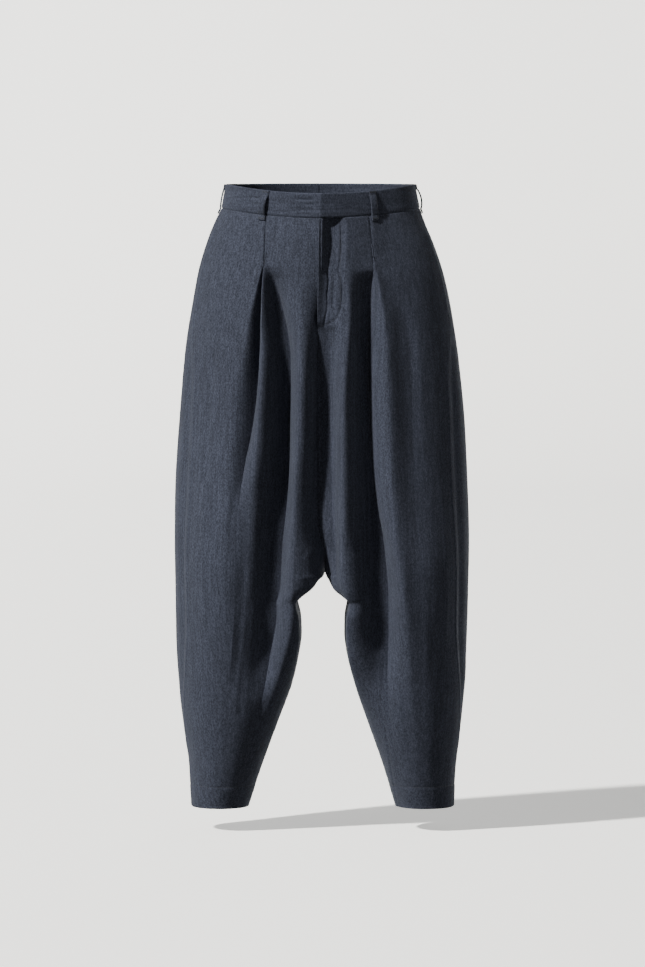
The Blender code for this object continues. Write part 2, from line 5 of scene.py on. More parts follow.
import bmesh
import bpy
import numpy as np
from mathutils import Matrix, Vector, noise


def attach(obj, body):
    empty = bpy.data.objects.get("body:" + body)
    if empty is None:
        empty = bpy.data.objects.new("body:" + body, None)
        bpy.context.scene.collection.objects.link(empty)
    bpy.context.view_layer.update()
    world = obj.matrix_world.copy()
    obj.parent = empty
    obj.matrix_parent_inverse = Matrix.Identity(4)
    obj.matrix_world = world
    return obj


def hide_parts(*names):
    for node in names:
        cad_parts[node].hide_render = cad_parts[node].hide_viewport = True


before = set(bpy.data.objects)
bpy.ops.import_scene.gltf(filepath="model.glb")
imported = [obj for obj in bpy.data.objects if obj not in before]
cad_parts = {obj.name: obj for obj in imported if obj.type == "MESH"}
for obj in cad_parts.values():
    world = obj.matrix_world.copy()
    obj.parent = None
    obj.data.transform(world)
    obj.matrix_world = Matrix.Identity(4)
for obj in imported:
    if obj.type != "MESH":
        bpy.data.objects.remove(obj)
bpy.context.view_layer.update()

bl_info = {
    "name": "Baggy Trousers",
    "version": (1, 0, 0),
    "blender": (4, 5, 0),
    "location": "View3D > Sidebar > Trousers",
    "description": "Builds pleated drop-crotch trousers as cloth panels with their seams and stitches",
    "category": "Add Mesh",
}

# Cut, in metres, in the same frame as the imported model
SEAM_GAP = 0.0003
BAND_HEIGHT = 0.038
FRONT_DIP = 0.0145
BACK_RISE = 0.001
DIP_FADE = 0.25
BAND_LEAN_RIGHT = 0.0068
BAND_LEAN_LEFT = 0.0078
BAND_LEAN_DEPTH = 0.003
FLY_LENGTH = 0.170
FLY_RAISE = 0.0021
FLY_BLEND = 0.015
BAND_LAP = 0.022
WAIST_POINT = 0.018
WAIST_POINT_REACH = 0.105
WAIST_POINT_FADE = 0.16
BAND_RAISE = 0.0034
BAND_RAISE_END = 0.062
BAND_TILT = 0.0036
BAND_MEET = 0.0012
PARTING = 0.03
SMALL_ANGLE = 0.0005
ARC_SAMPLES = 60
LOOP_WIDTH = 0.011
LOOP_BELOW_SEAM = 0.008
LOOP_BELOW_TOP = 0.0002
LOOP_SEAT = 0.0006
LOOP_END = 0.16
LOOP_FULLNESS = 0.7
LOOP_FACE = 0.0021
CROTCH = 0.571
HEM = 0.940
HEM_FOLD = 0.035

# How flat the floor of a valley lies beside the wall of its pleat, and how steeply the cloth leaves the fly
FLOOR_POWER = 1.5
FLOOR_LEAN = 0.36
FLY_POWER = 1.5
FLY_FADE = 0.025

# Sewn edges close up, and the wearer's right front reaches further, under the fly
SEAM_CLOSE = 0.0001
UNDERLAP = 0.0045

Level = namedtuple("Level", "drop side_right side_left front back")
LEVELS = [
    Level(0.000, 0.154, 0.156, 0.108, 0.110),
    Level(0.022, 0.165, 0.164, 0.113, 0.118),
    Level(0.050, 0.176, 0.176, 0.118, 0.128),
    Level(0.097, 0.190, 0.192, 0.126, 0.142),
    Level(0.144, 0.199, 0.203, 0.131, 0.149),
    Level(0.192, 0.207, 0.211, 0.135, 0.153),
    Level(0.239, 0.2125, 0.217, 0.138, 0.155),
    Level(0.333, 0.2205, 0.2265, 0.141, 0.155),
    Level(0.427, 0.2265, 0.231, 0.142, 0.151),
    Level(0.521, 0.228, 0.233, 0.141, 0.145),
    Level(0.615, 0.2262, 0.2315, 0.135, 0.137),
    Level(0.678, 0.225, 0.2298, 0.126, 0.128),
    Level(0.725, 0.223, 0.229, 0.118, 0.121),
    Level(0.772, 0.220, 0.226, 0.109, 0.112),
    Level(0.835, 0.2122, 0.2195, 0.093, 0.096),
    Level(0.867, 0.207, 0.215, 0.084, 0.087),
    Level(0.898, 0.205, 0.2125, 0.075, 0.078),
    Level(0.937, 0.2025, 0.211, 0.062, 0.066),
]

# The inner edge of each half: the centre seam down to the crotch, and the inseam below it
Inner = namedtuple("Inner", "drop right left")
INNER = [
    Inner(0.000, -0.001, -0.001),
    Inner(0.180, -0.0036, -0.0036),
    Inner(0.300, -0.0047, -0.0047),
    Inner(0.430, -0.0047, -0.0047),
    Inner(0.490, -0.003, -0.003),
    Inner(0.515, 0.002, 0.002),
    Inner(0.535, 0.0075, 0.0075),
    Inner(0.571, 0.0075, 0.0075),
    Inner(0.579, 0.000, 0.0115),
    Inner(0.592, -0.0095, 0.0185),
    Inner(0.604, -0.025, 0.033),
    Inner(0.614, -0.034, 0.042),
    Inner(0.642, -0.0290, 0.0380),
    Inner(0.667, -0.0282, 0.0376),
    Inner(0.694, -0.0318, 0.0408),
    Inner(0.741, -0.0418, 0.0523),
    Inner(0.804, -0.0646, 0.074),
    Inner(0.867, -0.088, 0.096),
    Inner(0.937, -0.1115, 0.118),
]
ARCH_TOP = 0.430
ARCH_END = 0.690
BODY_INNER = [row for row in INNER if not ARCH_TOP < row.drop < ARCH_END]

# How far a section turns from its side to its inner edge, and how blunt it is on its inner side
Turn = namedtuple("Turn", "drop degrees bluntness")
TURNS = [
    Turn(0.000, 90.0, 2.0),
    Turn(0.180, 93.0, 2.0),
    Turn(0.300, 101.0, 2.2),
    Turn(0.400, 112.0, 2.6),
    Turn(0.470, 126.0, 3.0),
    Turn(0.520, 143.0, 3.3),
    Turn(0.550, 160.0, 4.2),
    Turn(0.565, 171.0, 4.7),
    Turn(0.571, 180.0, 5.0),
    Turn(0.595, 180.0, 6.4),
    Turn(0.625, 180.0, 7.0),
    Turn(0.680, 180.0, 5.0),
    Turn(0.772, 180.0, 2.8),
    Turn(0.867, 180.0, 2.2),
    Turn(0.937, 180.0, 2.0),
]

# A fold line runs down a panel: how far it lies from the centre, and how far it stands out or in.
# The run is the way that the cloth goes from the line before it, counted from the centre, to this one.
Place = namedtuple("Place", "drop across lift")
Fold = namedtuple("Fold", "kind run columns places")
CREST = "crest"
VALLEY = "valley"
STEEP_FIRST = "steep first"
STEEP_LAST = "steep last"
FLOOR_FIRST = "floor first"
FLOOR_LAST = "floor last"
SOFT = "soft"
FLY_STRIP = "fly strip"
FLY_BANK = "fly bank"

def fold(kind, run, columns, *rows):
    """A fold line. Each row gives its drop, its distance across, and its lift."""
    return Fold(kind, run, columns, [Place(*row) for row in rows])


FRONT_RIGHT_FOLDS = [
    fold(CREST, STEEP_FIRST, 5,
        (0.014, 0.038, 0.0), (0.089, 0.035, 0.002), (0.19, 0.028, 0.007), (0.236, 0.0275, 0.008),
        (0.301, 0.03, 0.009), (0.38, 0.034, 0.009), (0.458, 0.039, 0.008), (0.537, 0.041, 0.008),
        (0.59, 0.0415, 0.007), (0.614, 0.045, 0.007), (0.642, 0.045, 0.007), (0.678, 0.05, 0.005),
        (0.725, 0.06, 0.001), (0.772, 0.072, 0.0), (0.867, 0.103, 0.001), (0.937, 0.1185, 0.0)),
    fold(VALLEY, STEEP_LAST, 3,
        (0.014, 0.07, 0.0), (0.078, 0.08, -0.001), (0.09, 0.0785, -0.006), (0.104, 0.0755, -0.015),
        (0.125, 0.07, -0.023), (0.15, 0.064, -0.029), (0.168, 0.06, -0.032), (0.19, 0.055, -0.034),
        (0.223, 0.05, -0.035), (0.301, 0.047, -0.036), (0.38, 0.0465, -0.035), (0.458, 0.0495, -0.034),
        (0.537, 0.056, -0.034), (0.6, 0.062, -0.033), (0.642, 0.0655, -0.03), (0.678, 0.07, -0.029),
        (0.71, 0.0745, -0.023), (0.74, 0.08, -0.014), (0.772, 0.089, -0.006), (0.867, 0.114, -0.001),
        (0.937, 0.125, 0.0)),
    fold(CREST, FLOOR_FIRST, 5,
        (0.014, 0.08, 0.0), (0.078, 0.0862, 0.001), (0.104, 0.0875, 0.003), (0.14, 0.088, 0.005),
        (0.168, 0.088, 0.006), (0.223, 0.087, 0.008), (0.301, 0.09, 0.01), (0.38, 0.0955, 0.009),
        (0.41, 0.099, 0.007), (0.435, 0.102, 0.003), (0.46, 0.1045, -0.001), (0.49, 0.107, -0.003),
        (0.537, 0.11, -0.004), (0.59, 0.113, -0.005), (0.678, 0.12, -0.004), (0.772, 0.132, 0.0),
        (0.937, 0.138, 0.0)),
    fold(VALLEY, STEEP_LAST, 3,
        (0.014, 0.0848, -0.0005), (0.078, 0.0872, -0.002), (0.098, 0.09, -0.008),
        (0.125, 0.0935, -0.014), (0.168, 0.0965, -0.019), (0.223, 0.0985, -0.02), (0.301, 0.105, -0.019),
        (0.35, 0.111, -0.015), (0.397, 0.1195, -0.01), (0.43, 0.1235, -0.006), (0.46, 0.1265, -0.001),
        (0.49, 0.129, 0.001), (0.59, 0.131, 0.001), (0.678, 0.136, 0.002), (0.772, 0.143, 0.0),
        (0.937, 0.148, 0.0)),
    fold(CREST, STEEP_FIRST, 3,
        (0.014, 0.092, 0.0), (0.078, 0.0885, 0.001), (0.098, 0.093, 0.002), (0.125, 0.099, 0.003),
        (0.168, 0.1085, 0.005), (0.205, 0.1145, 0.006), (0.223, 0.1175, 0.006), (0.301, 0.133, 0.006),
        (0.35, 0.138, 0.006), (0.397, 0.142, 0.006), (0.49, 0.147, 0.007), (0.59, 0.15, 0.006),
        (0.678, 0.152, 0.003), (0.772, 0.154, 0.001), (0.937, 0.158, 0.0)),
]

FRONT_LEFT_FOLDS = [
    fold(VALLEY, FLY_STRIP, 3,
        (0.0, 0.0172, -0.004), (0.014, 0.0172, -0.0102), (0.04, 0.0168, -0.0112), (0.07, 0.0152, -0.009),
        (0.113, 0.0124, -0.0055), (0.14, 0.0098, -0.004), (0.16, 0.008, -0.0036),
        (0.175, 0.008, -0.0055), (0.19, 0.0105, -0.011), (0.215, 0.0125, -0.018), (0.25, 0.014, -0.022),
        (0.301, 0.0145, -0.025), (0.36, 0.0142, -0.025), (0.43, 0.015, -0.022), (0.49, 0.0165, -0.015),
        (0.53, 0.018, -0.009), (0.571, 0.022, -0.003), (0.59, 0.029, 0.001), (0.614, 0.044, 0.004),
        (0.642, 0.0405, 0.004), (0.667, 0.04, 0.004), (0.694, 0.0433, 0.003), (0.741, 0.0545, 0.001),
        (0.804, 0.0755, 0.001), (0.867, 0.097, 0.0), (0.937, 0.119, 0.0)),
    fold(CREST, FLY_BANK, 6,
        (0.014, 0.04, 0.001), (0.06, 0.04, 0.0016), (0.113, 0.0435, 0.003), (0.15, 0.044, 0.004),
        (0.19, 0.043, 0.005), (0.236, 0.04, 0.0065), (0.301, 0.037, 0.008), (0.397, 0.038, 0.009),
        (0.49, 0.039, 0.011), (0.542, 0.0415, 0.011), (0.59, 0.045, 0.01), (0.614, 0.051, 0.01),
        (0.642, 0.049, 0.01), (0.667, 0.048, 0.01), (0.694, 0.0505, 0.01), (0.741, 0.06, 0.006),
        (0.804, 0.08, 0.002), (0.867, 0.101, 0.001), (0.937, 0.123, 0.0)),
    fold(VALLEY, FLOOR_LAST, 5,
        (0.014, 0.0765, 0.0), (0.084, 0.0832, -0.001), (0.104, 0.084, -0.01), (0.14, 0.0838, -0.019),
        (0.19, 0.0825, -0.026), (0.25, 0.0818, -0.03), (0.301, 0.0835, -0.031), (0.38, 0.0855, -0.032),
        (0.458, 0.091, -0.035), (0.537, 0.101, -0.038), (0.6, 0.106, -0.037), (0.64, 0.1065, -0.034),
        (0.678, 0.106, -0.031), (0.708, 0.104, -0.026), (0.738, 0.102, -0.018), (0.772, 0.103, -0.009),
        (0.867, 0.121, 0.0), (0.937, 0.135, 0.0)),
    fold(CREST, STEEP_FIRST, 3,
        (0.014, 0.0785, 0.0), (0.084, 0.0845, 0.001), (0.104, 0.0905, 0.003), (0.14, 0.095, 0.005),
        (0.168, 0.099, 0.006), (0.223, 0.103, 0.008), (0.301, 0.105, 0.009), (0.397, 0.109, 0.009),
        (0.49, 0.117, 0.008), (0.59, 0.13, 0.008), (0.678, 0.138, 0.006), (0.772, 0.144, 0.003),
        (0.937, 0.153, 0.0)),
    fold(VALLEY, FLOOR_LAST, 3,
        (0.014, 0.095, 0.0), (0.084, 0.098, 0.0), (0.13, 0.118, -0.001), (0.19, 0.137, -0.003),
        (0.301, 0.144, -0.003), (0.38, 0.145, -0.002), (0.458, 0.148, 0.0), (0.59, 0.155, 0.002),
        (0.678, 0.16, 0.0025), (0.772, 0.162, 0.001), (0.937, 0.166, 0.0)),
    fold(CREST, SOFT, 3,
        (0.014, 0.11, 0.0), (0.084, 0.115, 0.0), (0.13, 0.136, 0.0), (0.19, 0.155, 0.0),
        (0.301, 0.161, 0.0), (0.38, 0.163, 0.0), (0.458, 0.167, 0.001), (0.59, 0.172, 0.002),
        (0.678, 0.176, 0.001), (0.937, 0.181, 0.0)),
]

# The folds of the backs, from the centre outward, hang from the seat
BACK_RIGHT_FOLDS = [
    fold(CREST, STEEP_FIRST, 3,
        (0.014, 0.028, 0.0), (0.2, 0.036, 0.004), (0.45, 0.042, 0.006), (0.6, 0.056, 0.005),
        (0.8, 0.086, 0.002), (0.937, 0.119, 0.0)),
    fold(VALLEY, STEEP_LAST, 2,
        (0.014, 0.05, 0.0), (0.2, 0.064, -0.007), (0.45, 0.07, -0.013), (0.6, 0.082, -0.012),
        (0.8, 0.105, -0.004), (0.937, 0.127, 0.0)),
    fold(CREST, STEEP_FIRST, 3,
        (0.014, 0.078, 0.0), (0.2, 0.102, 0.004), (0.45, 0.11, 0.005), (0.6, 0.116, 0.004),
        (0.8, 0.126, 0.001), (0.937, 0.14, 0.0)),
    fold(VALLEY, STEEP_LAST, 2,
        (0.014, 0.1, 0.0), (0.2, 0.134, -0.005), (0.45, 0.142, -0.008), (0.6, 0.144, -0.006),
        (0.8, 0.146, -0.002), (0.937, 0.152, 0.0)),
    fold(CREST, STEEP_FIRST, 2,
        (0.014, 0.12, 0.0), (0.2, 0.162, 0.002), (0.45, 0.172, 0.003), (0.6, 0.172, 0.002),
        (0.8, 0.168, 0.0), (0.937, 0.168, 0.0)),
]

BACK_LEFT_FOLDS = [
    fold(CREST, STEEP_FIRST, 3,
        (0.014, 0.026, 0.0), (0.23, 0.034, 0.004), (0.42, 0.04, 0.006), (0.6, 0.06, 0.005),
        (0.78, 0.082, 0.002), (0.937, 0.125, 0.0)),
    fold(VALLEY, STEEP_LAST, 2,
        (0.014, 0.046, 0.0), (0.23, 0.058, -0.008), (0.42, 0.064, -0.012), (0.6, 0.084, -0.013),
        (0.78, 0.104, -0.005), (0.937, 0.134, 0.0)),
    fold(CREST, STEEP_FIRST, 3,
        (0.014, 0.074, 0.0), (0.23, 0.094, 0.004), (0.42, 0.102, 0.005), (0.6, 0.12, 0.004),
        (0.78, 0.132, 0.002), (0.937, 0.147, 0.0)),
    fold(VALLEY, STEEP_LAST, 2,
        (0.014, 0.098, 0.0), (0.23, 0.128, -0.004), (0.42, 0.138, -0.007), (0.6, 0.15, -0.006),
        (0.78, 0.154, -0.002), (0.937, 0.16, 0.0)),
    fold(CREST, STEEP_FIRST, 2,
        (0.014, 0.12, 0.0), (0.23, 0.158, 0.002), (0.42, 0.17, 0.003), (0.6, 0.178, 0.002),
        (0.78, 0.176, 0.0), (0.937, 0.175, 0.0)),
]

# The centre seams lie in a valley below the fly, and below the seat at the back
Seam = namedtuple("Seam", "drop front_right front_left back")
CENTRE_SEAMS = [
    Seam(0.000, 0.000, 0.000, 0.000),
    Seam(0.100, -0.001, 0.000, 0.000),
    Seam(0.130, -0.004, 0.000, 0.000),
    Seam(0.150, -0.007, 0.000, -0.001),
    Seam(0.172, -0.010, -0.003, -0.002),
    Seam(0.195, -0.012, -0.012, -0.003),
    Seam(0.250, -0.018, -0.018, -0.005),
    Seam(0.301, -0.020, -0.020, -0.006),
    Seam(0.397, -0.020, -0.020, -0.008),
    Seam(0.490, -0.013, -0.013, -0.006),
    Seam(0.545, -0.004, -0.004, -0.002),
    Seam(0.571, 0.000, 0.000, 0.000),
    Seam(0.937, 0.000, 0.000, 0.000),
]

# The side seam lies in front of the outline, by this angle
SideSeam = namedtuple("SideSeam", "drop degrees")
SIDE_SEAM = [
    SideSeam(0.000, 12.0),
    SideSeam(0.150, 14.0),
    SideSeam(0.200, 19.0),
    SideSeam(0.270, 26.0),
    SideSeam(0.450, 32.0),
    SideSeam(0.650, 34.0),
    SideSeam(0.720, 29.0),
    SideSeam(0.770, 22.0),
    SideSeam(0.850, 14.0),
    SideSeam(0.937, 12.0),
]

Half = namedtuple("Half", "name sign side inner front_folds back_folds lean")
RIGHT = Half("right", -1.0, "side_right", "right", FRONT_RIGHT_FOLDS, BACK_RIGHT_FOLDS, BAND_LEAN_RIGHT)
LEFT = Half("left", 1.0, "side_left", "left", FRONT_LEFT_FOLDS, BACK_LEFT_FOLDS, BAND_LEAN_LEFT)
HALVES = (RIGHT, LEFT)
SIDE_COLUMNS_FRONT = 6
SIDE_COLUMNS_BACK = 4

# The belt loops: how far each lies from the centre, its foot is shifted outward, and it stands out
Loop = namedtuple("Loop", "name half across foot_shift is_front stand")
LOOPS = [
    Loop("loop_front_right", RIGHT, 0.083, 0.007, True, 0.0062),
    Loop("loop_front_left", LEFT, 0.080, 0.005, True, 0.0018),
    Loop("loop_side_right", RIGHT, 0.160, 0.000, False, 0.0012),
    Loop("loop_side_left", LEFT, 0.160, 0.000, False, 0.0040),
    Loop("loop_back", LEFT, 0.000, 0.000, False, 0.0045),
]

# Points of a panel: so many times those of the plain model across, and rows at these steps down
FINER_FRONT = 4
FINER_BACK = 5
ROW_STEP = 0.003
FINE_ROW_STEP = 0.002
FINE_ROWS_START = 0.510
FINE_ROWS_END = 0.630
EDGE_ROWS = (0.0004, 0.001, 0.0018)
FOLD_ROW = 0.0012
EVEN_SHARE = 0.30
EVEN_SHARE_BOTH = 0.35
CROWD_POWER = 1.8

# The relief of the cloth: swells, puckers along the seams, and the thicker hem
SWELL_SEEDS = {"right": 3.0, "left": 11.0}
SWELL_FROM_EDGE = 0.018
SWELL_TOP = (0.004, 0.05)
PUCKER_DEPTH = 0.00022
PUCKER_PITCH = 0.019
PUCKER_REACH = 0.007
PUCKER_TOP = 0.02
HEM_RISE = 0.0005
HEM_GROOVE = 0.0004
HEM_GROOVE_WIDTH = 0.0014
SEAM_HOLD = 0.015
SEAM_HOLD_FADE = 0.012
SMOOTH_DEGREES = 55.0

# Rolled edges of an outer face: how far each turns in, and how far from the edge it starts to
Roll = namedtuple("Roll", "depth width")
SEAM_ROLL = Roll(0.0007, 0.0011)
HEM_ROLL = Roll(0.0009, 0.0009)
TOP_ROLL = Roll(0.001, 0.0011)
BAND_TOP_ROLL = Roll(0.0011, 0.0009)
BAND_FOOT_ROLL = Roll(0.0011, 0.0011)
BAND_END_ROLL = Roll(0.0008, 0.0009)
LOOP_ROLL = Roll(0.0006, 0.0008)
HEM_WORN = 0.0012
LOOP_WORN = 0.0012

# Creases in a panel, along a line of points given by the distance from the centre and the drop
Crease = namedtuple("Crease", "depth width path")
CREASE_END = 0.020
CREASES = {
    "front_left": [
        Crease(-0.0017, 0.0013, [(0.0168, 0.05), (0.0138, 0.092), (0.0112, 0.126), (0.0072, 0.17),
                                 (0.0062, 0.188)]),
        Crease(-0.0024, 0.0013, [(0.0322, 0.002), (0.0322, 0.06), (0.032, 0.1), (0.0316, 0.148),
                                 (0.027, 0.163), (0.02, 0.171), (0.011, 0.1765), (0.001, 0.179)]),
        Crease(-0.0011, 0.0028, [(0.022, 0.029), (0.036, 0.026), (0.05, 0.027)]),
        Crease(-0.0011, 0.003, [(0.024, 0.048), (0.036, 0.044), (0.052, 0.046)]),
        Crease(-0.0012, 0.0022, [(0.021, 0.1), (0.0215, 0.12), (0.0205, 0.14), (0.0185, 0.158)]),
        Crease(-0.0012, 0.0013, [(0.078, -0.01), (0.0785, 0.014), (0.0815, 0.05), (0.0838, 0.086)]),
        Crease(0.0013, 0.003, [(0.085, 0.086), (0.0885, 0.108), (0.0967, 0.168), (0.101, 0.223),
                               (0.103, 0.26)]),
        Crease(-0.0012, 0.003, [(0.087, 0.115), (0.0925, 0.168), (0.0945, 0.223), (0.095, 0.255)]),
        Crease(-0.0012, 0.003, [(0.04, 0.145), (0.039, 0.175), (0.036, 0.205)]),
        Crease(-0.001, 0.005, [(0.12, 0.69), (0.13, 0.77), (0.14, 0.86)]),
        Crease(-0.0012, 0.002, [(0.048, 0.67), (0.062, 0.725), (0.0905, 0.781), (0.11, 0.87),
                                (0.124, 0.96)]),
        Crease(0.0008, 0.006, [(0.188, 0.42), (0.196, 0.56), (0.196, 0.68)]),
    ],
    "front_right": [
        Crease(-0.0012, 0.0013, [(0.0845, -0.01), (0.0848, 0.014), (0.086, 0.05), (0.087, 0.084)]),
        Crease(-0.001, 0.003, [(0.022, 0.524), (0.026, 0.534), (0.031, 0.544)]),
        Crease(-0.0009, 0.0045, [(0.128, 0.42), (0.138, 0.5), (0.14, 0.58)]),
        Crease(-0.0012, 0.006, [(0.16, 0.2), (0.172, 0.3), (0.176, 0.43)]),
        Crease(0.0009, 0.006, [(0.178, 0.42), (0.18, 0.54), (0.176, 0.65)]),
        Crease(-0.0012, 0.005, [(0.11, 0.6), (0.118, 0.7), (0.124, 0.8)]),
        Crease(-0.001, 0.005, [(0.066, 0.7), (0.08, 0.76), (0.1, 0.83)]),
    ],
    "back_left": [
        Crease(-0.002, 0.007, [(0.05, 0.56), (0.08, 0.52), (0.12, 0.5)]),
        Crease(-0.0014, 0.0055, [(0.04, 0.38), (0.07, 0.35), (0.1, 0.345)]),
        Crease(-0.0012, 0.006, [(0.086, 0.12), (0.1, 0.24), (0.112, 0.36)]),
        Crease(-0.0014, 0.005, [(0.12, 0.66), (0.13, 0.76), (0.14, 0.85)]),
        Crease(-0.0012, 0.0045, [(0.075, 0.69), (0.095, 0.67), (0.125, 0.66)]),
        Crease(-0.001, 0.0045, [(0.09, 0.74), (0.11, 0.725), (0.14, 0.72)]),
    ],
    "back_right": [
        Crease(-0.0018, 0.007, [(0.046, 0.54), (0.076, 0.505), (0.112, 0.49)]),
        Crease(-0.0013, 0.006, [(0.044, 0.41), (0.074, 0.385), (0.108, 0.372)]),
        Crease(-0.0013, 0.006, [(0.082, 0.14), (0.096, 0.26), (0.104, 0.4)]),
        Crease(-0.0013, 0.005, [(0.112, 0.64), (0.122, 0.75), (0.132, 0.84)]),
        Crease(-0.0012, 0.0045, [(0.07, 0.67), (0.092, 0.655), (0.12, 0.65)]),
        Crease(-0.001, 0.0045, [(0.085, 0.73), (0.105, 0.712), (0.135, 0.705)]),
    ],
}

# Creases beside a side seam, along points given by the distance from the seam toward the back, and the drop
SIDE_CREASES = [
    Crease(0.001, 0.0022, [(-0.003, 0.15), (-0.003, 0.3), (-0.003, 0.5), (-0.003, 0.7), (-0.003, 0.9)]),
    Crease(-0.0035, 0.01, [(0.013, 0.16), (0.014, 0.3), (0.015, 0.5), (0.014, 0.7), (0.01, 0.85)]),
]

# The curved stitch line of the fly, and the ends of the pocket openings in the side seams
FLY_STITCH = [(0.0318, 0.008), (0.0320, 0.100), (0.0316, 0.148), (0.0270, 0.163), (0.0200, 0.171),
              (0.0110, 0.1765), (0.0020, 0.1790)]
POCKET_TOP = 0.030
POCKET_END = 0.163
POCKET_LIFT = 0.0013
POCKET_SHARE = 0.42
POCKET_FADE = 0.072
POCKET_WIDTH = 0.008


def smooth(table, column, at):
    """Reads a column of a table between its rows, on a cubic that never overshoots a row."""
    places = np.array([row.drop for row in table])
    values = np.array([getattr(row, column) for row in table])
    at = np.clip(at, places[0], places[-1])
    steps = np.diff(places)
    slopes = np.diff(values) / steps
    tangents = np.zeros(len(places))
    tangents[0] = slopes[0]
    tangents[-1] = slopes[-1]
    rising = slopes[:-1] * slopes[1:] > 0.0
    weight = np.where(rising, slopes[:-1] + slopes[1:], 1.0)
    tangents[1:-1] = np.where(rising, 2.0 * slopes[:-1] * slopes[1:] / weight, 0.0)
    index = np.clip(np.searchsorted(places, at, side="right") - 1, 0, len(steps) - 1)
    step = steps[index]
    part = (at - places[index]) / step
    bend = part * part * (3.0 - 2.0 * part)
    start_pull = step * tangents[index] * part * (1.0 - part) ** 2
    end_pull = step * tangents[index + 1] * part * part * (1.0 - part)
    return values[index] * (1.0 - bend) + values[index + 1] * bend + start_pull - end_pull


def fade(value, start, end):
    """Goes smoothly from 1 at start to 0 at end."""
    part = np.clip((value - start) / (end - start), 0.0, 1.0)
    return 1.0 - part * part * (3.0 - 2.0 * part)


def near(gap, width):
    """Is 1 where the gap is 0, and dies away over about the width."""
    return np.exp(-(gap / width) ** 2)


def relief(gap, shape):
    """How deep a crease or a rolled edge is, at a gap from its middle."""
    return shape.depth * near(gap, shape.width)


def lengths_along(points):
    """The length up to each point of a line, or of each row of a grid."""
    steps = np.linalg.norm(np.diff(points, axis=-2), axis=-1)
    return np.concatenate([np.zeros(steps.shape[:-1] + (1,)), np.cumsum(steps, axis=-1)], axis=-1)


def read_along(at, lengths, values):
    """The point or direction at a length along a line of them."""
    return np.array([np.interp(at, lengths, column) for column in values.T])


class Section:
    """The level section of one half at one drop: part of an ellipse, from its side to its inner edge."""

    def __init__(self, half, drop, above=0.0):
        lean = above / BAND_HEIGHT
        self.half = half
        self.drop = drop
        self.above = above
        self.side = float(smooth(LEVELS, half.side, drop)) - half.lean * lean
        self.inner = half.sign * float(smooth(INNER, half.inner, drop))
        self.turn = math.radians(float(smooth(TURNS, "degrees", drop)))
        self.bluntness = float(smooth(TURNS, "bluntness", drop))
        body = half.sign * float(smooth(BODY_INNER, half.inner, drop))
        self.reach = (self.side - body) / (1.0 - math.cos(self.turn))
        self.centre = self.side - self.reach
        self.inner_reach = self.reach
        if drop > ARCH_TOP:
            self.inner_reach = (self.centre - self.inner) / -math.cos(self.turn)
        self.front = float(smooth(LEVELS, "front", drop)) - BAND_LEAN_DEPTH * lean
        self.back = float(smooth(LEVELS, "back", drop)) - BAND_LEAN_DEPTH * lean

    def angle(self, across):
        reach = np.where(across > self.centre, self.reach, self.inner_reach)
        return np.arccos(np.clip((across - self.centre) / reach, -1.0, 1.0))

    def height(self, angle):
        """The waist dips at the front and rises at the back, and the rows below follow it for a while."""
        change = np.where(angle > 0.0, -FRONT_DIP, BACK_RISE)
        return self.above - self.drop + change * np.sin(angle) ** 2 * fade(self.drop, 0.0, DIP_FADE)

    def flat(self, angle):
        """The distance from the centre, and the depth, at an angle from the side. Forward is positive."""
        turned = np.cos(angle)
        power = np.where(turned < 0.0, self.bluntness, 2.0)
        rounded = np.maximum(1.0 - np.abs(turned) ** power, 0.0) ** (1.0 / power)
        depth = np.where(angle > 0.0, -self.front, self.back) * rounded
        reach = np.where(turned > 0.0, self.reach, self.inner_reach)
        across = self.centre + reach * turned
        forward = WAIST_POINT * fade(self.drop, 0.0, WAIST_POINT_FADE)
        forward = forward * np.clip(1.0 - np.abs(across) / WAIST_POINT_REACH, 0.0, 1.0)
        return across, depth - np.where(angle > 0.0, forward, 0.0)

    def normal(self, angle):
        """The outward direction, level, as distance from the centre and depth."""
        before = self.flat(np.maximum(angle - SMALL_ANGLE, -math.pi))
        after = self.flat(np.minimum(angle + SMALL_ANGLE, math.pi))
        across = before[1] - after[1]
        depth = after[0] - before[0]
        size = np.hypot(across, depth)
        return across / size, depth / size

    def points(self, angle, lift=0.0, sideways=1.0):
        """The points at some angles from the side, moved out by lift."""
        across, depth = self.flat(angle)
        out = self.normal(angle)
        across = across + 0.5 * SEAM_GAP + out[0] * lift * sideways
        depth = depth + out[1] * lift
        if self.drop > 0.0:
            edge_depth = self.flat(np.copysign(self.turn, angle))[1]
            across = np.maximum(across, self.inner + 0.5 * SEAM_GAP + PARTING * np.abs(depth - edge_depth))
        return np.stack([self.half.sign * across, depth, self.height(angle)], axis=-1)

    def spread(self, start, end, parts):
        """Angles at the given parts of the way along the section from start to end."""
        angles = np.linspace(start, end, ARC_SAMPLES + 1)
        across, depth = self.flat(angles)
        steps = np.hypot(np.diff(across), np.diff(depth))
        lengths = np.concatenate([[0.0], np.cumsum(steps)])
        return np.interp(parts * lengths[-1], lengths, angles)


def ease(part, run, drop):
    """The way from one fold line to the next, from 0 to 1."""
    soft = part * part * (3.0 - 2.0 * part)
    if run == STEEP_FIRST:
        return np.sin(0.5 * math.pi * part)
    if run == STEEP_LAST:
        return 1.0 - np.cos(0.5 * math.pi * part)
    if run == FLOOR_FIRST:
        return FLOOR_LEAN * part + (1.0 - FLOOR_LEAN) * ease(part ** FLOOR_POWER, SOFT, drop)
    if run == FLOOR_LAST:
        return 1.0 - ease(1.0 - part, FLOOR_FIRST, drop)
    if run in (FLY_STRIP, FLY_BANK):
        beside_fly = fade(drop, FLY_LENGTH - FLY_FADE, FLY_LENGTH + FLY_FADE)
        steep = 1.0 - (1.0 - part) ** FLY_POWER if run == FLY_STRIP else ease(part, STEEP_LAST, drop)
        return steep * beside_fly + soft * (1.0 - beside_fly)
    return soft


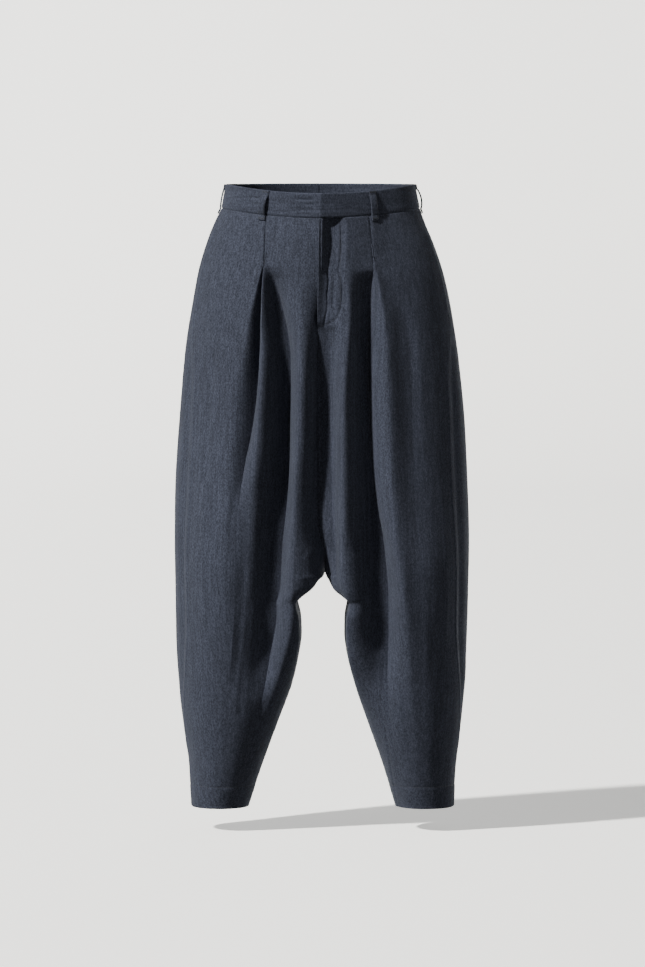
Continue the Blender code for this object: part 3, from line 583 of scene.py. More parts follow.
def crowded(count, at_start, at_end):
    """Parts from 0 up to but not at 1, closer together at the ends that are named."""
    part = np.arange(count) / count
    if at_start and at_end:
        return EVEN_SHARE_BOTH * part + (1.0 - EVEN_SHARE_BOTH) * part * part * (3.0 - 2.0 * part)
    if at_start:
        return EVEN_SHARE * part + (1.0 - EVEN_SHARE) * part ** CROWD_POWER
    if at_end:
        left = 1.0 - part
        return 1.0 - EVEN_SHARE * left - (1.0 - EVEN_SHARE) * left ** CROWD_POWER
    return part


def row_drops():
    """The drops of the rows: closer together where the legs part, and at the edges."""
    places = set()
    edges = (0.0, FINE_ROWS_START, FINE_ROWS_END, HEM - HEM_FOLD, HEM)
    for start, end in zip(edges[:-1], edges[1:]):
        step = FINE_ROW_STEP if start == FINE_ROWS_START else ROW_STEP
        count = max(round((end - start) / step), 1)
        places.update(round(start + (end - start) * row / count, 6) for row in range(count + 1))
    for gap in EDGE_ROWS:
        places.update((gap, round(HEM - gap, 6)))
    for gap in (-FOLD_ROW, FOLD_ROW):
        places.add(round(HEM - HEM_FOLD + gap, 6))
    return sorted(places)


def panel_row(half, drop, is_front):
    """One row of a panel, from its inner edge to the side seam: the points, and their distance across."""
    section = Section(half, drop)
    seam = float(smooth(CENTRE_SEAMS, "front_" + half.name if is_front else "back", drop))
    side_seam = math.radians(float(smooth(SIDE_SEAM, "degrees", drop)))
    if is_front and half is LEFT:
        seam += FLY_RAISE * float(fade(drop, FLY_LENGTH, FLY_LENGTH + FLY_BLEND))
    folds = half.front_folds if is_front else half.back_folds
    finer = FINER_FRONT if is_front else FINER_BACK
    side = 1.0 if is_front else -1.0
    lines = [(section.turn, seam, VALLEY)]
    for fold in folds:
        across = float(smooth(fold.places, "across", drop))
        lift = float(smooth(fold.places, "lift", drop))
        lines.append((float(section.angle(across)), lift, fold.kind))
    lines.append((side * side_seam, 0.0, CREST))
    counts = [fold.columns * finer for fold in folds]
    counts.append((SIDE_COLUMNS_FRONT if is_front else SIDE_COLUMNS_BACK) * finer)
    runs = [fold.run for fold in folds] + [SOFT]
    points = []
    flats = []
    for number, count in enumerate(counts):
        angle, lift, kind = lines[number]
        next_angle, next_lift, next_kind = lines[number + 1]
        is_last = number == len(counts) - 1
        part = crowded(count, kind != CREST, next_kind != CREST or is_last)
        if is_last:
            part = np.append(part, 1.0)
        here = section.spread(side * angle, side * next_angle, part)
        out = lift + (next_lift - lift) * ease(part, runs[number], drop)
        points.append(section.points(here, out, part if number == 0 else 1.0))
        flats.append(section.flat(here)[0])
    return np.concatenate(points), np.concatenate(flats)


def directions(points, outward, joined):
    """Outward directions of a grid of points. The two edges share one in the rows that joined names."""
    across = np.empty_like(points)
    across[:, 1:-1] = points[:, 2:] - points[:, :-2]
    across[:, 0] = points[:, 1] - points[:, 0]
    across[:, -1] = points[:, -1] - points[:, -2]
    for row in np.flatnonzero(joined):
        across[row, 0] = across[row, -1] = points[row, 1] - points[row, -2]
    down = np.gradient(points, axis=0)
    found = np.cross(down, across) * outward
    return found / np.maximum(np.linalg.norm(found, axis=2, keepdims=True), 1e-12)


def along_path(places, ups, path):
    """How near each point of a grid lies to a path, and how far along the path that is, from 0 to 1."""
    path = np.array(path)
    steps = np.linalg.norm(np.diff(path, axis=0), axis=1)
    total = steps.sum()
    nearest = np.full(places.shape, np.inf)
    part = np.zeros(places.shape)
    done = 0.0
    for start, end, step in zip(path[:-1], path[1:], steps):
        way = (end - start) / step
        along = (places - start[0]) * way[0] + (ups - start[1]) * way[1]
        along = np.clip(along, 0.0, step)
        gap = np.hypot(places - start[0] - along * way[0], ups - start[1] - along * way[1])
        closer = gap < nearest
        nearest = np.where(closer, gap, nearest)
        part = np.where(closer, (done + along) / total, part)
        done += step
    return nearest, part


def crease_lift(crease, across, arc, drops):
    """A soft trough or ridge along a path, which runs out at both ends."""
    path = []
    for place, drop in crease.path:
        row = int(np.abs(drops - drop).argmin())
        order = np.argsort(across[row])
        path.append((float(np.interp(place, across[row][order], arc[row][order])), drop))
    gap, part = along_path(arc, np.broadcast_to(drops[:, None], arc.shape), path)
    run_out = min(CREASE_END / sum(math.dist(a, b) for a, b in zip(path, path[1:])), 0.4)
    ends = (1.0 - fade(part, 0.0, run_out)) * fade(part, 1.0 - run_out, 1.0)
    return relief(gap, crease) * ends


def unevenness(arc, drops, seed):
    """Slow, uneven swells that run mostly down the cloth."""
    found = np.empty(arc.shape)
    for row, drop in enumerate(drops):
        for column, place in enumerate(arc[row]):
            long = noise.noise(Vector((place * 21.0, drop * 4.2, seed)))
            short = noise.noise(Vector((place * 52.0, drop * 11.0, seed + 7.0)))
            found[row, column] = long + 0.35 * short
    return found


Surface = namedtuple("Surface", "points out across arc drops seam roll")


@functools.cache
def half_surface(name, crease_depth, swell):
    """The whole outer face of one half, with its creases, from the front inner edge to the back one."""
    half = next(half for half in HALVES if half.name == name)
    drops = np.array(row_drops())
    fronts = [panel_row(half, drop, True) for drop in drops]
    backs = [panel_row(half, drop, False) for drop in drops]
    points = np.array([np.concatenate([f[0], b[0][-2::-1]]) for f, b in zip(fronts, backs)])
    across = np.array([np.concatenate([f[1], b[1][-2::-1]]) for f, b in zip(fronts, backs)])
    seam = len(fronts[0][0]) - 1
    below_crotch = drops >= CROTCH - 1e-6
    out = directions(points, half.sign, below_crotch)
    arc = lengths_along(points)
    from_inner = np.minimum(arc, arc[:, -1:] - arc)
    arc = arc - arc[:, seam:seam + 1]
    from_side = np.abs(arc)
    from_edge = np.minimum(from_inner, from_side)
    rows = np.broadcast_to(drops[:, None], arc.shape)

    lift = np.zeros(arc.shape)
    for panel, span in (("front_" + name, slice(0, seam + 1)), ("back_" + name, slice(seam, None))):
        for crease in CREASES[panel]:
            lift[:, span] += crease_depth * crease_lift(crease, across[:, span], arc[:, span], drops)
    for crease in SIDE_CREASES:
        gap, part = along_path(arc, rows, crease.path)
        lift += crease_depth * relief(gap, crease) * fade(np.abs(part - 0.5), 0.3, 0.5)
    swells = unevenness(arc, drops, SWELL_SEEDS[name])
    lift += swell * swells * (1.0 - near(from_edge, SWELL_FROM_EDGE)) * (1.0 - fade(rows, *SWELL_TOP))
    drift = 0.35 * np.sin(rows * 41.0) + 0.2 * np.sin(rows * 97.0)
    pucker = np.sin(2.0 * math.pi * (rows / PUCKER_PITCH + drift))
    lift += PUCKER_DEPTH * pucker * np.exp(-from_edge / PUCKER_REACH) * (1.0 - fade(rows, 0.0, PUCKER_TOP))
    from_pocket = np.abs(rows - 0.5 * (POCKET_TOP + POCKET_END))
    pocket = fade(from_pocket, POCKET_SHARE * (POCKET_END - POCKET_TOP), POCKET_FADE)
    is_front = np.arange(arc.shape[1]) <= seam
    lift += POCKET_LIFT * pocket * near(from_side, POCKET_WIDTH) * is_front
    hem = 1.0 - fade(rows, HEM - HEM_FOLD - 0.001, HEM - HEM_FOLD + 0.003)
    lift += HEM_RISE * hem - HEM_GROOVE * near(rows - HEM + HEM_FOLD, HEM_GROOVE_WIDTH)

    # Near the centre seams the cloth may move forward or back, and not across the centre
    free = np.clip(from_inner / SEAM_HOLD, 0.0, 1.0)
    free = free + (1.0 - free) * (1.0 - fade(rows, CROTCH, CROTCH + SEAM_HOLD_FADE))
    moved = out * lift[..., None]
    moved[..., 0] *= free
    points = points + moved
    centre = smooth(INNER, half.inner, drops)[drops < CROTCH] - half.sign * SEAM_CLOSE
    for edge in (0, -1):
        points[drops < CROTCH, edge, 0] = centre
    out = directions(points, half.sign, below_crotch)
    roll = -relief(from_edge, SEAM_ROLL) * free - relief(HEM - rows, HEM_ROLL) - relief(rows, TOP_ROLL)
    return Surface(points, out, across, arc, drops, seam, roll)


def select_only(*chosen):
    """Deselects everything else, and makes the first of these the active object."""
    bpy.ops.object.select_all(action="DESELECT")
    for item in chosen:
        item.select_set(True)
    bpy.context.view_layer.objects.active = chosen[0]


def apply_modifier(item, kind, **settings):
    select_only(item)
    modifier = item.modifiers.new(kind.title(), kind)
    for setting, value in settings.items():
        setattr(modifier, setting, value)
    bpy.ops.object.modifier_apply(modifier=modifier.name)


def cloth_sheet(name, points, out, places, wall, roll=0.0, thicker=0.0, crest=None):
    """A sheet of cloth: a grid moved onto the points, with its wall and rolled edges on its outer face."""
    rows, columns = points.shape[:2]
    bpy.ops.object.select_all(action="DESELECT")
    bpy.ops.mesh.primitive_grid_add(x_subdivisions=columns - 1, y_subdivisions=rows - 1, size=1.0)
    made = bpy.context.object
    made.name = name
    mesh = made.data
    count = len(mesh.vertices)
    if count != rows * columns:
        raise RuntimeError(f"{name}: the grid has {count} points, not {rows * columns}")
    flat = np.empty(count * 3)
    mesh.vertices.foreach_get("co", flat)
    flat = flat.reshape(-1, 3)
    column = np.rint((flat[:, 0] + 0.5) * (columns - 1)).astype(int)
    row = np.rint((flat[:, 1] + 0.5) * (rows - 1)).astype(int)
    mesh.vertices.foreach_set("co", points[row, column].ravel())
    corners = np.empty(len(mesh.loops), dtype=np.int32)
    mesh.loops.foreach_get("vertex_index", corners)
    mesh.uv_layers.active.uv.foreach_set("vector", places[row, column][corners].astype(np.float32).ravel())
    worn = np.zeros(count) if crest is None else crest[row, column]
    mesh.attributes.new("worn", "FLOAT", "POINT").data.foreach_set("value", worn.astype(np.float32))
    mesh.update()
    middle = mesh.polygons[len(mesh.polygons) // 2]
    nearest = middle.vertices[0]
    if middle.normal.dot(Vector(out[row[nearest], column[nearest]])) < 0.0:
        mesh.flip_normals()
    apply_modifier(made, "SOLIDIFY", thickness=wall, offset=-1.0, use_even_offset=False, use_rim=True)
    mesh = made.data
    whole = np.empty(len(mesh.vertices) * 3)
    mesh.vertices.foreach_get("co", whole)
    whole = whole.reshape(-1, 3)
    away = out[row, column]
    whole[:count] += away * np.broadcast_to(roll, points.shape[:2])[row, column][:, None]
    whole[count:2 * count] -= away * np.broadcast_to(thicker, points.shape[:2])[row, column][:, None]
    mesh.vertices.foreach_set("co", whole.ravel())
    mesh.update()
    select_only(made)
    bpy.ops.object.shade_smooth_by_angle(angle=math.radians(SMOOTH_DEGREES))
    return made


def finish_piece(made, nodes=()):
    """Says what the piece rides on, and hides the parts of the imported model that it stands for."""
    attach(made, "root")
    if nodes:
        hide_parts(*nodes)


# Materials


def add_node(material, kind, inputs=None, where=None, **settings):
    """A shader node. Where names the node and the output that give its vector."""
    node = material.node_tree.nodes.new(kind)
    for name, value in settings.items():
        setattr(node, name, value)
    for name, value in (inputs or {}).items():
        node.inputs[name].default_value = value
    if where:
        join(material, *where, node, "Vector")
    return node


def join(material, source, output, target, socket):
    material.node_tree.links.new(source.outputs[output], target.inputs[socket])


def mixed(material, factor, first, second, blend="MIX"):
    """A colour mix. Each of factor, first and second is a value, or a node and the name of its output."""
    node = add_node(material, "ShaderNodeMix", data_type="RGBA", blend_type=blend)
    for socket, given in ((0, factor), (6, first), (7, second)):
        if isinstance(given, tuple) and isinstance(given[0], bpy.types.Node):
            join(material, *given, node, socket)
        else:
            node.inputs[socket].default_value = given
    return node


def ranged(material, source, output, low, high, to_low, to_high):
    node = add_node(material, "ShaderNodeMapRange", {
        "From Min": low, "From Max": high, "To Min": to_low, "To Max": to_high})
    join(material, source, output, node, "Value")
    return node


# A wave texture of this scale repeats once in a metre
WAVE_SCALE = 0.314


@functools.cache
def crepe(name, colour, dark_colour, light_colour, grain_size, weave_size, streak_turned):
    """Matt crepe: a peppery grain over a plain weave, with faint streaks along the thread."""
    material = bpy.data.materials.new(name)
    material.use_nodes = True
    shader = material.node_tree.nodes["Principled BSDF"]
    where = (add_node(material, "ShaderNodeTexCoord"), "Object")
    stretch = add_node(material, "ShaderNodeMapping", {"Scale": (1.0, 1.0, 0.55)}, where)
    grain = add_node(
        material, "ShaderNodeTexNoise",
        {"Scale": 1.0 / grain_size, "Detail": 3.0, "Roughness": 0.62, "Distortion": 0.25}, (stretch, "Vector"))
    along = add_node(material, "ShaderNodeMapping", {
        "Scale": (0.05, 0.05, 1.0) if streak_turned else (1.0, 1.0, 0.045)}, where)
    streak = add_node(material, "ShaderNodeTexNoise", {
        "Scale": 270.0, "Detail": 2.0, "Roughness": 0.5}, (along, "Vector"))
    cloud = add_node(material, "ShaderNodeTexNoise", {"Scale": 9.0, "Detail": 2.0, "Roughness": 0.5}, where)

    pepper = ranged(material, grain, "Fac", 0.36, 0.66, 0.0, 1.0)
    base = mixed(material, (pepper, "Result"), dark_colour, light_colour)
    even = mixed(material, 0.20, (base, 2), colour)
    streaks = ranged(material, streak, "Fac", 0.35, 0.65, 0.83, 1.16)
    lined = mixed(material, 1.0, (even, 2), (streaks, "Result"), "MULTIPLY")
    clouds = ranged(material, cloud, "Fac", 0.30, 0.70, 0.95, 1.05)
    toned = mixed(material, 1.0, (lined, 2), (clouds, "Result"), "MULTIPLY")
    worn = add_node(material, "ShaderNodeAttribute", attribute_name="worn")
    wear = ranged(material, worn, "Fac", 0.0, 1.0, 1.0, 1.16)
    final = mixed(material, 1.0, (toned, 2), (wear, "Result"), "MULTIPLY")
    join(material, final, 2, shader, "Base Color")

    threads = (add_node(material, "ShaderNodeUVMap", uv_map="UVMap"), "UV")
    weave = add_node(material, "ShaderNodeMath", operation="MULTIPLY")
    for socket, way in enumerate(("X", "Y")):
        bands = add_node(material, "ShaderNodeTexWave", {
            "Scale": WAVE_SCALE / weave_size, "Distortion": 0.5, "Detail": 1.0, "Detail Scale": 2.0},
            threads, wave_type="BANDS", bands_direction=way)
        join(material, bands, "Fac", weave, socket)
    fine = add_node(material, "ShaderNodeBump", {"Strength": 0.35, "Distance": 0.00025})
    join(material, weave, "Value", fine, "Height")
    pebbled = add_node(material, "ShaderNodeBump", {"Strength": 0.55, "Distance": 0.0006})
    join(material, grain, "Fac", pebbled, "Height")
    join(material, fine, "Normal", pebbled, "Normal")
    join(material, pebbled, "Normal", shader, "Normal")
    rough = ranged(material, grain, "Fac", 0.3, 0.7, 0.96, 0.86)
    join(material, rough, "Result", shader, "Roughness")
    shader.inputs["Specular IOR Level"].default_value = 0.10
    shader.inputs["Sheen Weight"].default_value = 0.06
    shader.inputs["Sheen Roughness"].default_value = 0.55
    shader.inputs["Sheen Tint"].default_value = (0.62, 0.68, 0.80, 1.0)
    material.diffuse_color = colour
    return material


@functools.cache
def thread_finish(name, colour):
    """Sewing thread, with the fine twist of its strands."""
    material = bpy.data.materials.new(name)
    material.use_nodes = True
    shader = material.node_tree.nodes["Principled BSDF"]
    where = (add_node(material, "ShaderNodeTexCoord"), "Object")
    strands = add_node(material, "ShaderNodeTexWave", {"Scale": 1400.0, "Distortion": 1.5}, where,
                       wave_type="BANDS", bands_direction="DIAGONAL")
    shades = ranged(material, strands, "Fac", 0.0, 1.0, 0.82, 1.12)
    toned = mixed(material, 1.0, colour, (shades, "Result"), "MULTIPLY")
    join(material, toned, 2, shader, "Base Color")
    bump = add_node(material, "ShaderNodeBump", {"Strength": 0.5, "Distance": 0.0001})
    join(material, strands, "Fac", bump, "Height")
    join(material, bump, "Normal", shader, "Normal")
    shader.inputs["Roughness"].default_value = 0.62
    shader.inputs["Specular IOR Level"].default_value = 0.3
    return material


# Settings


def length_setting(name, description, default, low, high, precision=4):
    return bpy.props.FloatProperty(name=name, description=description, default=default, min=low, max=high,
                                   precision=precision, unit="LENGTH")


def strength_setting(name, description, default, high):
    return bpy.props.FloatProperty(name=name, description=description, default=default, min=0.0, max=high)


def colour_setting(name, description, default):
    return bpy.props.FloatVectorProperty(name=name, description=description, size=4, subtype="COLOR",
                                         default=default, min=0.0, max=1.0)


class TROUSERS_PG_cloth(bpy.types.PropertyGroup):
    wall: length_setting("Cloth thickness", "Thickness of the panel cloth", 0.0016, 0.0005, 0.003)
    hem_wall: length_setting("Hem extra", "How much thicker the turned-up hem is", 0.0014, 0.0, 0.003)
    crease_depth: bpy.props.FloatProperty(
        name="Crease depth", description="Scales the depth of the small creases",
        default=1.0, min=0.0, max=3.0, subtype="FACTOR")
    swell: length_setting("Swell", "Height of the slow unevenness of the cloth", 0.0011, 0.0, 0.004)
    colour: colour_setting("Cloth", "Middle colour of the cloth", (0.0260, 0.0297, 0.0440, 1.0))
    dark_colour: colour_setting("Dark fleck", "Colour between the raised threads",
        (0.0126, 0.0145, 0.0219, 1.0))
    light_colour: colour_setting("Light fleck", "Colour of the raised threads",
        (0.0432, 0.0490, 0.0710, 1.0))
    grain_size: length_setting("Grain", "Size of the pebbles of the crepe", 0.0017, 0.0005, 0.01)
    weave_size: length_setting("Weave", "Distance between threads", 0.0009, 0.0003, 0.003)


class TROUSERS_PG_sewing(bpy.types.PropertyGroup):
    band_wall: length_setting("Waistband thickness", "Thickness of the folded waistband",
        0.0026, 0.001, 0.004)
    band_stand: length_setting("Waistband stand", "How far the waistband stands out over the panels",
        0.0006, 0.0, 0.002)
    loop_wall: length_setting("Loop thickness", "Thickness of a folded belt loop", 0.0020, 0.0008, 0.003)
    stitch: length_setting("Stitch", "Length of one stitch", 0.0026, 0.001, 0.006)
    stitch_gap: length_setting("Stitch gap", "Gap between two stitches", 0.0009, 0.0002, 0.003)
    thread: length_setting("Thread", "Thickness of the sewing thread", 0.00045, 0.0002, 0.001, 5)
    thread_colour: colour_setting("Thread colour", "Colour of the sewing thread",
        (0.0150, 0.0170, 0.0235, 1.0))


class TROUSERS_PG_stage(bpy.types.PropertyGroup):
    floor_height: length_setting("Floor", "Height of the floor under the waist", -0.977, -2.0, -0.95, 3)
    camera_distance: length_setting("Camera distance", "Distance of the camera in front of the waist",
        9.3, 2.0, 20.0, 2)
    sun_strength: strength_setting("Sun", "Strength of the key light", 8.2, 20.0)
    sky_strength: strength_setting("Fill", "Strength of the light from all round", 0.11, 5.0)
    side_strength: strength_setting("Side light", "Strength of the soft light from the other side",
        0.45, 5.0)
    back_strength: strength_setting("Back light", "Strength of the light from behind, to show the back",
        1.7, 5.0)
    paper: colour_setting("Paper", "Colour of the floor and the backdrop", (0.96, 0.96, 0.935, 1.0))
    paper_glow: strength_setting("Paper glow", "How much the paper shines by itself, as if lit from behind",
        0.50, 2.0)


def cloth_finish(cloth, name="navy_crepe", turned=False):
    """The crepe of the settings. The waistband has its own, with the thread turned."""
    colours = [tuple(each) for each in (cloth.colour, cloth.dark_colour, cloth.light_colour)]
    return crepe(name, *colours, cloth.grain_size, cloth.weave_size, turned)


# Pieces


class TROUSERS_OT_panels(bpy.types.Operator):
    """Makes the two fronts and the two backs, with their pleats, folds and creases"""
    bl_idname = "trousers.panels"
    bl_label = "Panels"

    def execute(self, context):
        cloth = context.scene.trousers_cloth
        for half in HALVES:
            surface = half_surface(half.name, cloth.crease_depth, cloth.swell)
            rows = np.broadcast_to(surface.drops[:, None], surface.arc.shape)
            places = np.stack([surface.arc, -rows], axis=-1)
            hem = 1.0 - fade(rows, HEM - HEM_FOLD - 0.001, HEM - HEM_FOLD + 0.002)
            worn = near(HEM - rows, HEM_WORN)
            for panel, span in (("front", slice(0, surface.seam + 1)), ("back", slice(surface.seam, None))):
                name = f"{panel}_{half.name}"
                points = surface.points[:, span].copy()
                tuck_under_fly(points, surface.drops, half, panel == "front")
                made = cloth_sheet(
                    name + "_cloth", points, surface.out[:, span], places[:, span], cloth.wall,
                    surface.roll[:, span], cloth.hem_wall * hem[:, span], worn[:, span])
                finish_sheet(made, cloth_finish(cloth), name)
        return {"FINISHED"}


def tuck_under_fly(points, drops, half, is_front):
    """Moves the edge of the wearer's right front on under the fly."""
    if is_front and half is RIGHT:
        reach = UNDERLAP * fade(drops, FLY_LENGTH - FLY_BLEND, FLY_LENGTH)
        step = points[:, 0] - points[:, 1]
        step /= np.linalg.norm(step, axis=1, keepdims=True)
        points[:, 0] += step * reach[:, None]
    points[0, :, 2] -= 0.5 * SEAM_GAP


def finish_sheet(made, finish, node):
    """Gives a sheet its cloth, says what it rides on, and hides the part of the imported model that it stands
    for.
    """
    made.data.materials.append(finish)
    finish_piece(made, [node])


class TROUSERS_OT_waistband(bpy.types.Operator):
    """Makes the two halves of the waistband. The wearer's left half laps over the right one"""
    bl_idname = "trousers.waistband"
    bl_label = "Waistband"

    def execute(self, context):
        cloth = context.scene.trousers_cloth
        sewing = context.scene.trousers_sewing
        for half in HALVES:
            points, out, places = band_surface(half, sewing.band_stand)
            rows = places[..., 1]
            from_end = np.minimum(places[..., 0] - places[:, :1, 0], places[:, -1:, 0] - places[..., 0])
            top = near(BAND_HEIGHT - rows, BAND_TOP_ROLL.width)
            roll = -relief(BAND_HEIGHT - rows, BAND_TOP_ROLL) - relief(rows, BAND_FOOT_ROLL)
            roll -= relief(from_end, BAND_END_ROLL)
            made = cloth_sheet(f"waistband_{half.name}_cloth", points, out, places, sewing.band_wall,
                               roll, -BAND_TOP_ROLL.depth * top, top)
            finish = cloth_finish(cloth, "navy_crepe_band", True)
            finish_sheet(made, finish, f"waistband_{half.name}")
        return {"FINISHED"}


BAND_CREASES = {
    "right": [
        Crease(-0.0019, 0.002, [(0.0, 0.0285), (0.02, 0.0272), (0.044, 0.0284)]),
        Crease(-0.0017, 0.0018, [(0.0, 0.0195), (0.02, 0.0205), (0.036, 0.019)]),
        Crease(-0.0015, 0.0018, [(0.0, 0.011), (0.024, 0.0125), (0.056, 0.0115)]),
        Crease(0.0011, 0.0022, [(0.004, 0.024), (0.026, 0.0235), (0.05, 0.0235)]),
        Crease(-0.0013, 0.002, [(0.1, 0.025), (0.118, 0.0235), (0.136, 0.0245)]),
        Crease(-0.0012, 0.002, [(0.104, 0.014), (0.124, 0.015), (0.146, 0.0135)]),
    ],
    "left": [
        Crease(-0.0005, 0.0025, [(0.03, 0.01), (0.045, 0.013), (0.062, 0.012)]),
        Crease(-0.0004, 0.0022, [(0.09, 0.008), (0.098, 0.016), (0.104, 0.024)]),
    ],
}
BAND_COLUMNS = 150
BAND_ROWS = 14
BAND_EDGE = 0.003
BAND_EDGE_ROWS = np.array([0.0, 0.0003, 0.0008, 0.0015])
BAND_END_COLUMNS = np.array([0.0, 0.002, 0.005])
BAND_END_SHARE = 0.01


def band_surface(half, stand):
    """The outer face of a waistband half, its outward directions, and its places along and up the band."""
    heights = np.linspace(BAND_EDGE, BAND_HEIGHT - BAND_EDGE, BAND_ROWS)
    heights = np.concatenate([BAND_EDGE_ROWS, heights, BAND_HEIGHT - BAND_EDGE_ROWS[::-1]])[::-1]
    parts = np.linspace(BAND_END_SHARE, 1.0 - BAND_END_SHARE, BAND_COLUMNS)
    parts = np.concatenate([BAND_END_COLUMNS, parts, 1.0 - BAND_END_COLUMNS[::-1]])
    rows = []
    places = []
    for above in heights:
        section = Section(half, 0.0, above)
        lap = BAND_LAP / section.reach if half is RIGHT else 0.0
        start = section.turn + lap
        angle = start - (start + section.turn) * parts
        across = section.centre + section.reach * np.cos(angle) - section.inner
        lift = np.full(angle.shape, stand)
        is_end = np.clip(1.0 - across / BAND_RAISE_END, 0.0, 1.0) ** 1.3 * (angle > 0.0)
        if half is LEFT:
            lift += (BAND_RAISE + BAND_TILT * (above / BAND_HEIGHT - 0.35)) * is_end
        else:
            lift += BAND_MEET * np.where(across > 0.0, is_end, 1.0) * (1.0 - fade(across, -0.020, -0.004))
        rows.append(section.points(angle, lift))
        places.append(np.stack([across, np.full(angle.shape, above)], axis=-1))
    points = np.array(rows)
    places = np.array(places)
    points[-1, :, 2] += 0.5 * SEAM_GAP
    out = directions(points, half.sign, np.zeros(len(heights), dtype=bool))
    arc = lengths_along(points)
    lift = np.zeros(arc.shape)
    front = slice(0, arc.shape[1] // 2)
    for crease in BAND_CREASES[half.name]:
        shifted = [(place + (BAND_LAP if half is RIGHT else 0.0), up) for place, up in crease.path]
        gap, part = along_path(arc[:, front], places[:, front, 1], shifted)
        lift[:, front] += relief(gap, crease) * fade(np.abs(part - 0.5), 0.2, 0.5)
    points += out * lift[..., None]
    places[..., 0] = arc
    return points, directions(points, half.sign, np.zeros(len(heights), dtype=bool)), places


LOOP_ROWS = 56
LOOP_COLUMNS = 10
LOOP_CROWN = 0.0003


def loop_surface(loop):
    """The outer face of a belt loop, from its foot below the waistband seam up to the top edge."""
    points = []
    places = []
    for row in range(LOOP_ROWS + 1):
        part = row / LOOP_ROWS
        height = -LOOP_BELOW_SEAM + part * (BAND_HEIGHT - LOOP_BELOW_TOP + LOOP_BELOW_SEAM)
        section = Section(loop.half, max(-height, 0.0), max(height, 0.0))
        angle = float(section.angle(loop.across + loop.foot_shift * (1.0 - part)))
        inside = min(max((part - LOOP_END) / (1.0 - 2.0 * LOOP_END), 0.0), 1.0)
        lift = LOOP_SEAT + loop.stand * math.sin(math.pi * inside) ** LOOP_FULLNESS + LOOP_FACE
        radius = math.hypot(section.reach * math.sin(angle), section.front * math.cos(angle))
        wide = np.linspace(-1.0, 1.0, LOOP_COLUMNS + 1)
        wide = 0.5 * LOOP_WIDTH * np.sin(0.5 * math.pi * wide)
        here = angle + wide / radius
        here = here if loop.is_front else -here
        crown = LOOP_CROWN * (1.0 - (2.0 * wide / LOOP_WIDTH) ** 2)
        points.append(section.points(here, lift + crown))
        places.append(np.stack([wide, np.full(wide.shape, height)], axis=-1))
    return np.array(points), np.array(places)


class TROUSERS_OT_loops(bpy.types.Operator):
    """Makes the five belt loops, sewn flat at both ends and standing out between them"""
    bl_idname = "trousers.loops"
    bl_label = "Belt loops"

    def execute(self, context):
        cloth = context.scene.trousers_cloth
        sewing = context.scene.trousers_sewing
        for loop in LOOPS:
            points, places = loop_surface(loop)
            out = loop_directions(points)
            from_side = 0.5 * LOOP_WIDTH - np.abs(places[..., 0])
            from_end = np.minimum(places[..., 1] - places[:1, :, 1], places[-1:, :, 1] - places[..., 1])
            roll = -relief(np.minimum(from_side, from_end), LOOP_ROLL)
            made = cloth_sheet(loop.name + "_cloth", points, out, places, sewing.loop_wall, roll,
                               0.0, near(from_side, LOOP_WORN))
            finish_sheet(made, cloth_finish(cloth), loop.name)
        return {"FINISHED"}


def loop_directions(points):
    """Outward directions of a loop: away from the middle of the waist."""
    across = np.gradient(points, axis=1)
    up = np.gradient(points, axis=0)
    out = np.cross(across, up)
    out /= np.maximum(np.linalg.norm(out, axis=2, keepdims=True), 1e-12)
    middle = points.mean(axis=(0, 1)) * np.array([1.0, 1.0, 0.0])
    return out if float((out.mean(axis=(0, 1)) * middle).sum()) > 0.0 else -out


# Stitches


# How a stitch is rounded off, flattened and sunk, in shares of the thread's thickness
END_INSET = 0.14
END_DEPTH = 0.16
THREAD_FLATNESS = 0.8
THREAD_RISE = 0.12


def one_stitch(sewing):
    """One stitch: a short bar of thread, rounded off at its ends, lying along X."""
    bpy.ops.object.select_all(action="DESELECT")
    bpy.ops.mesh.primitive_cylinder_add(vertices=6, radius=0.5 * sewing.thread, depth=sewing.stitch)
    made = bpy.context.object
    bpy.ops.object.mode_set(mode="EDIT")
    bpy.ops.mesh.select_all(action="SELECT")
    bpy.ops.transform.rotate(value=0.5 * math.pi, orient_axis="Y", center_override=(0.0, 0.0, 0.0))
    bpy.ops.object.mode_set(mode="OBJECT")
    shape = bmesh.new()
    shape.from_mesh(made.data)
    ends = [face for face in shape.faces if abs(face.normal.x) > 0.9]
    bmesh.ops.inset_individual(
        shape, faces=ends, thickness=END_INSET * sewing.thread, depth=END_DEPTH * sewing.thread)
    points = np.array([vertex.co[:] for vertex in shape.verts])
    shape.verts.index_update()
    faces = [[vertex.index for vertex in face.verts] for face in shape.faces]
    shape.free()
    bpy.data.objects.remove(made, do_unlink=True)
    return points, faces


def stitches_along(path, out, sewing):
    """The middle, direction and outward direction of each stitch along a path of points."""
    lengths = lengths_along(path)
    count = max(int(lengths[-1] / (sewing.stitch + sewing.stitch_gap)), 1)
    found = []
    for number in range(count):
        middle = (number + 0.5) * lengths[-1] / count
        half = 0.5 * sewing.stitch
        start, end = (read_along(at, lengths, path) for at in (middle - half, middle + half))
        found.append((read_along(middle, lengths, path), end - start, read_along(middle, lengths, out)))
    return found


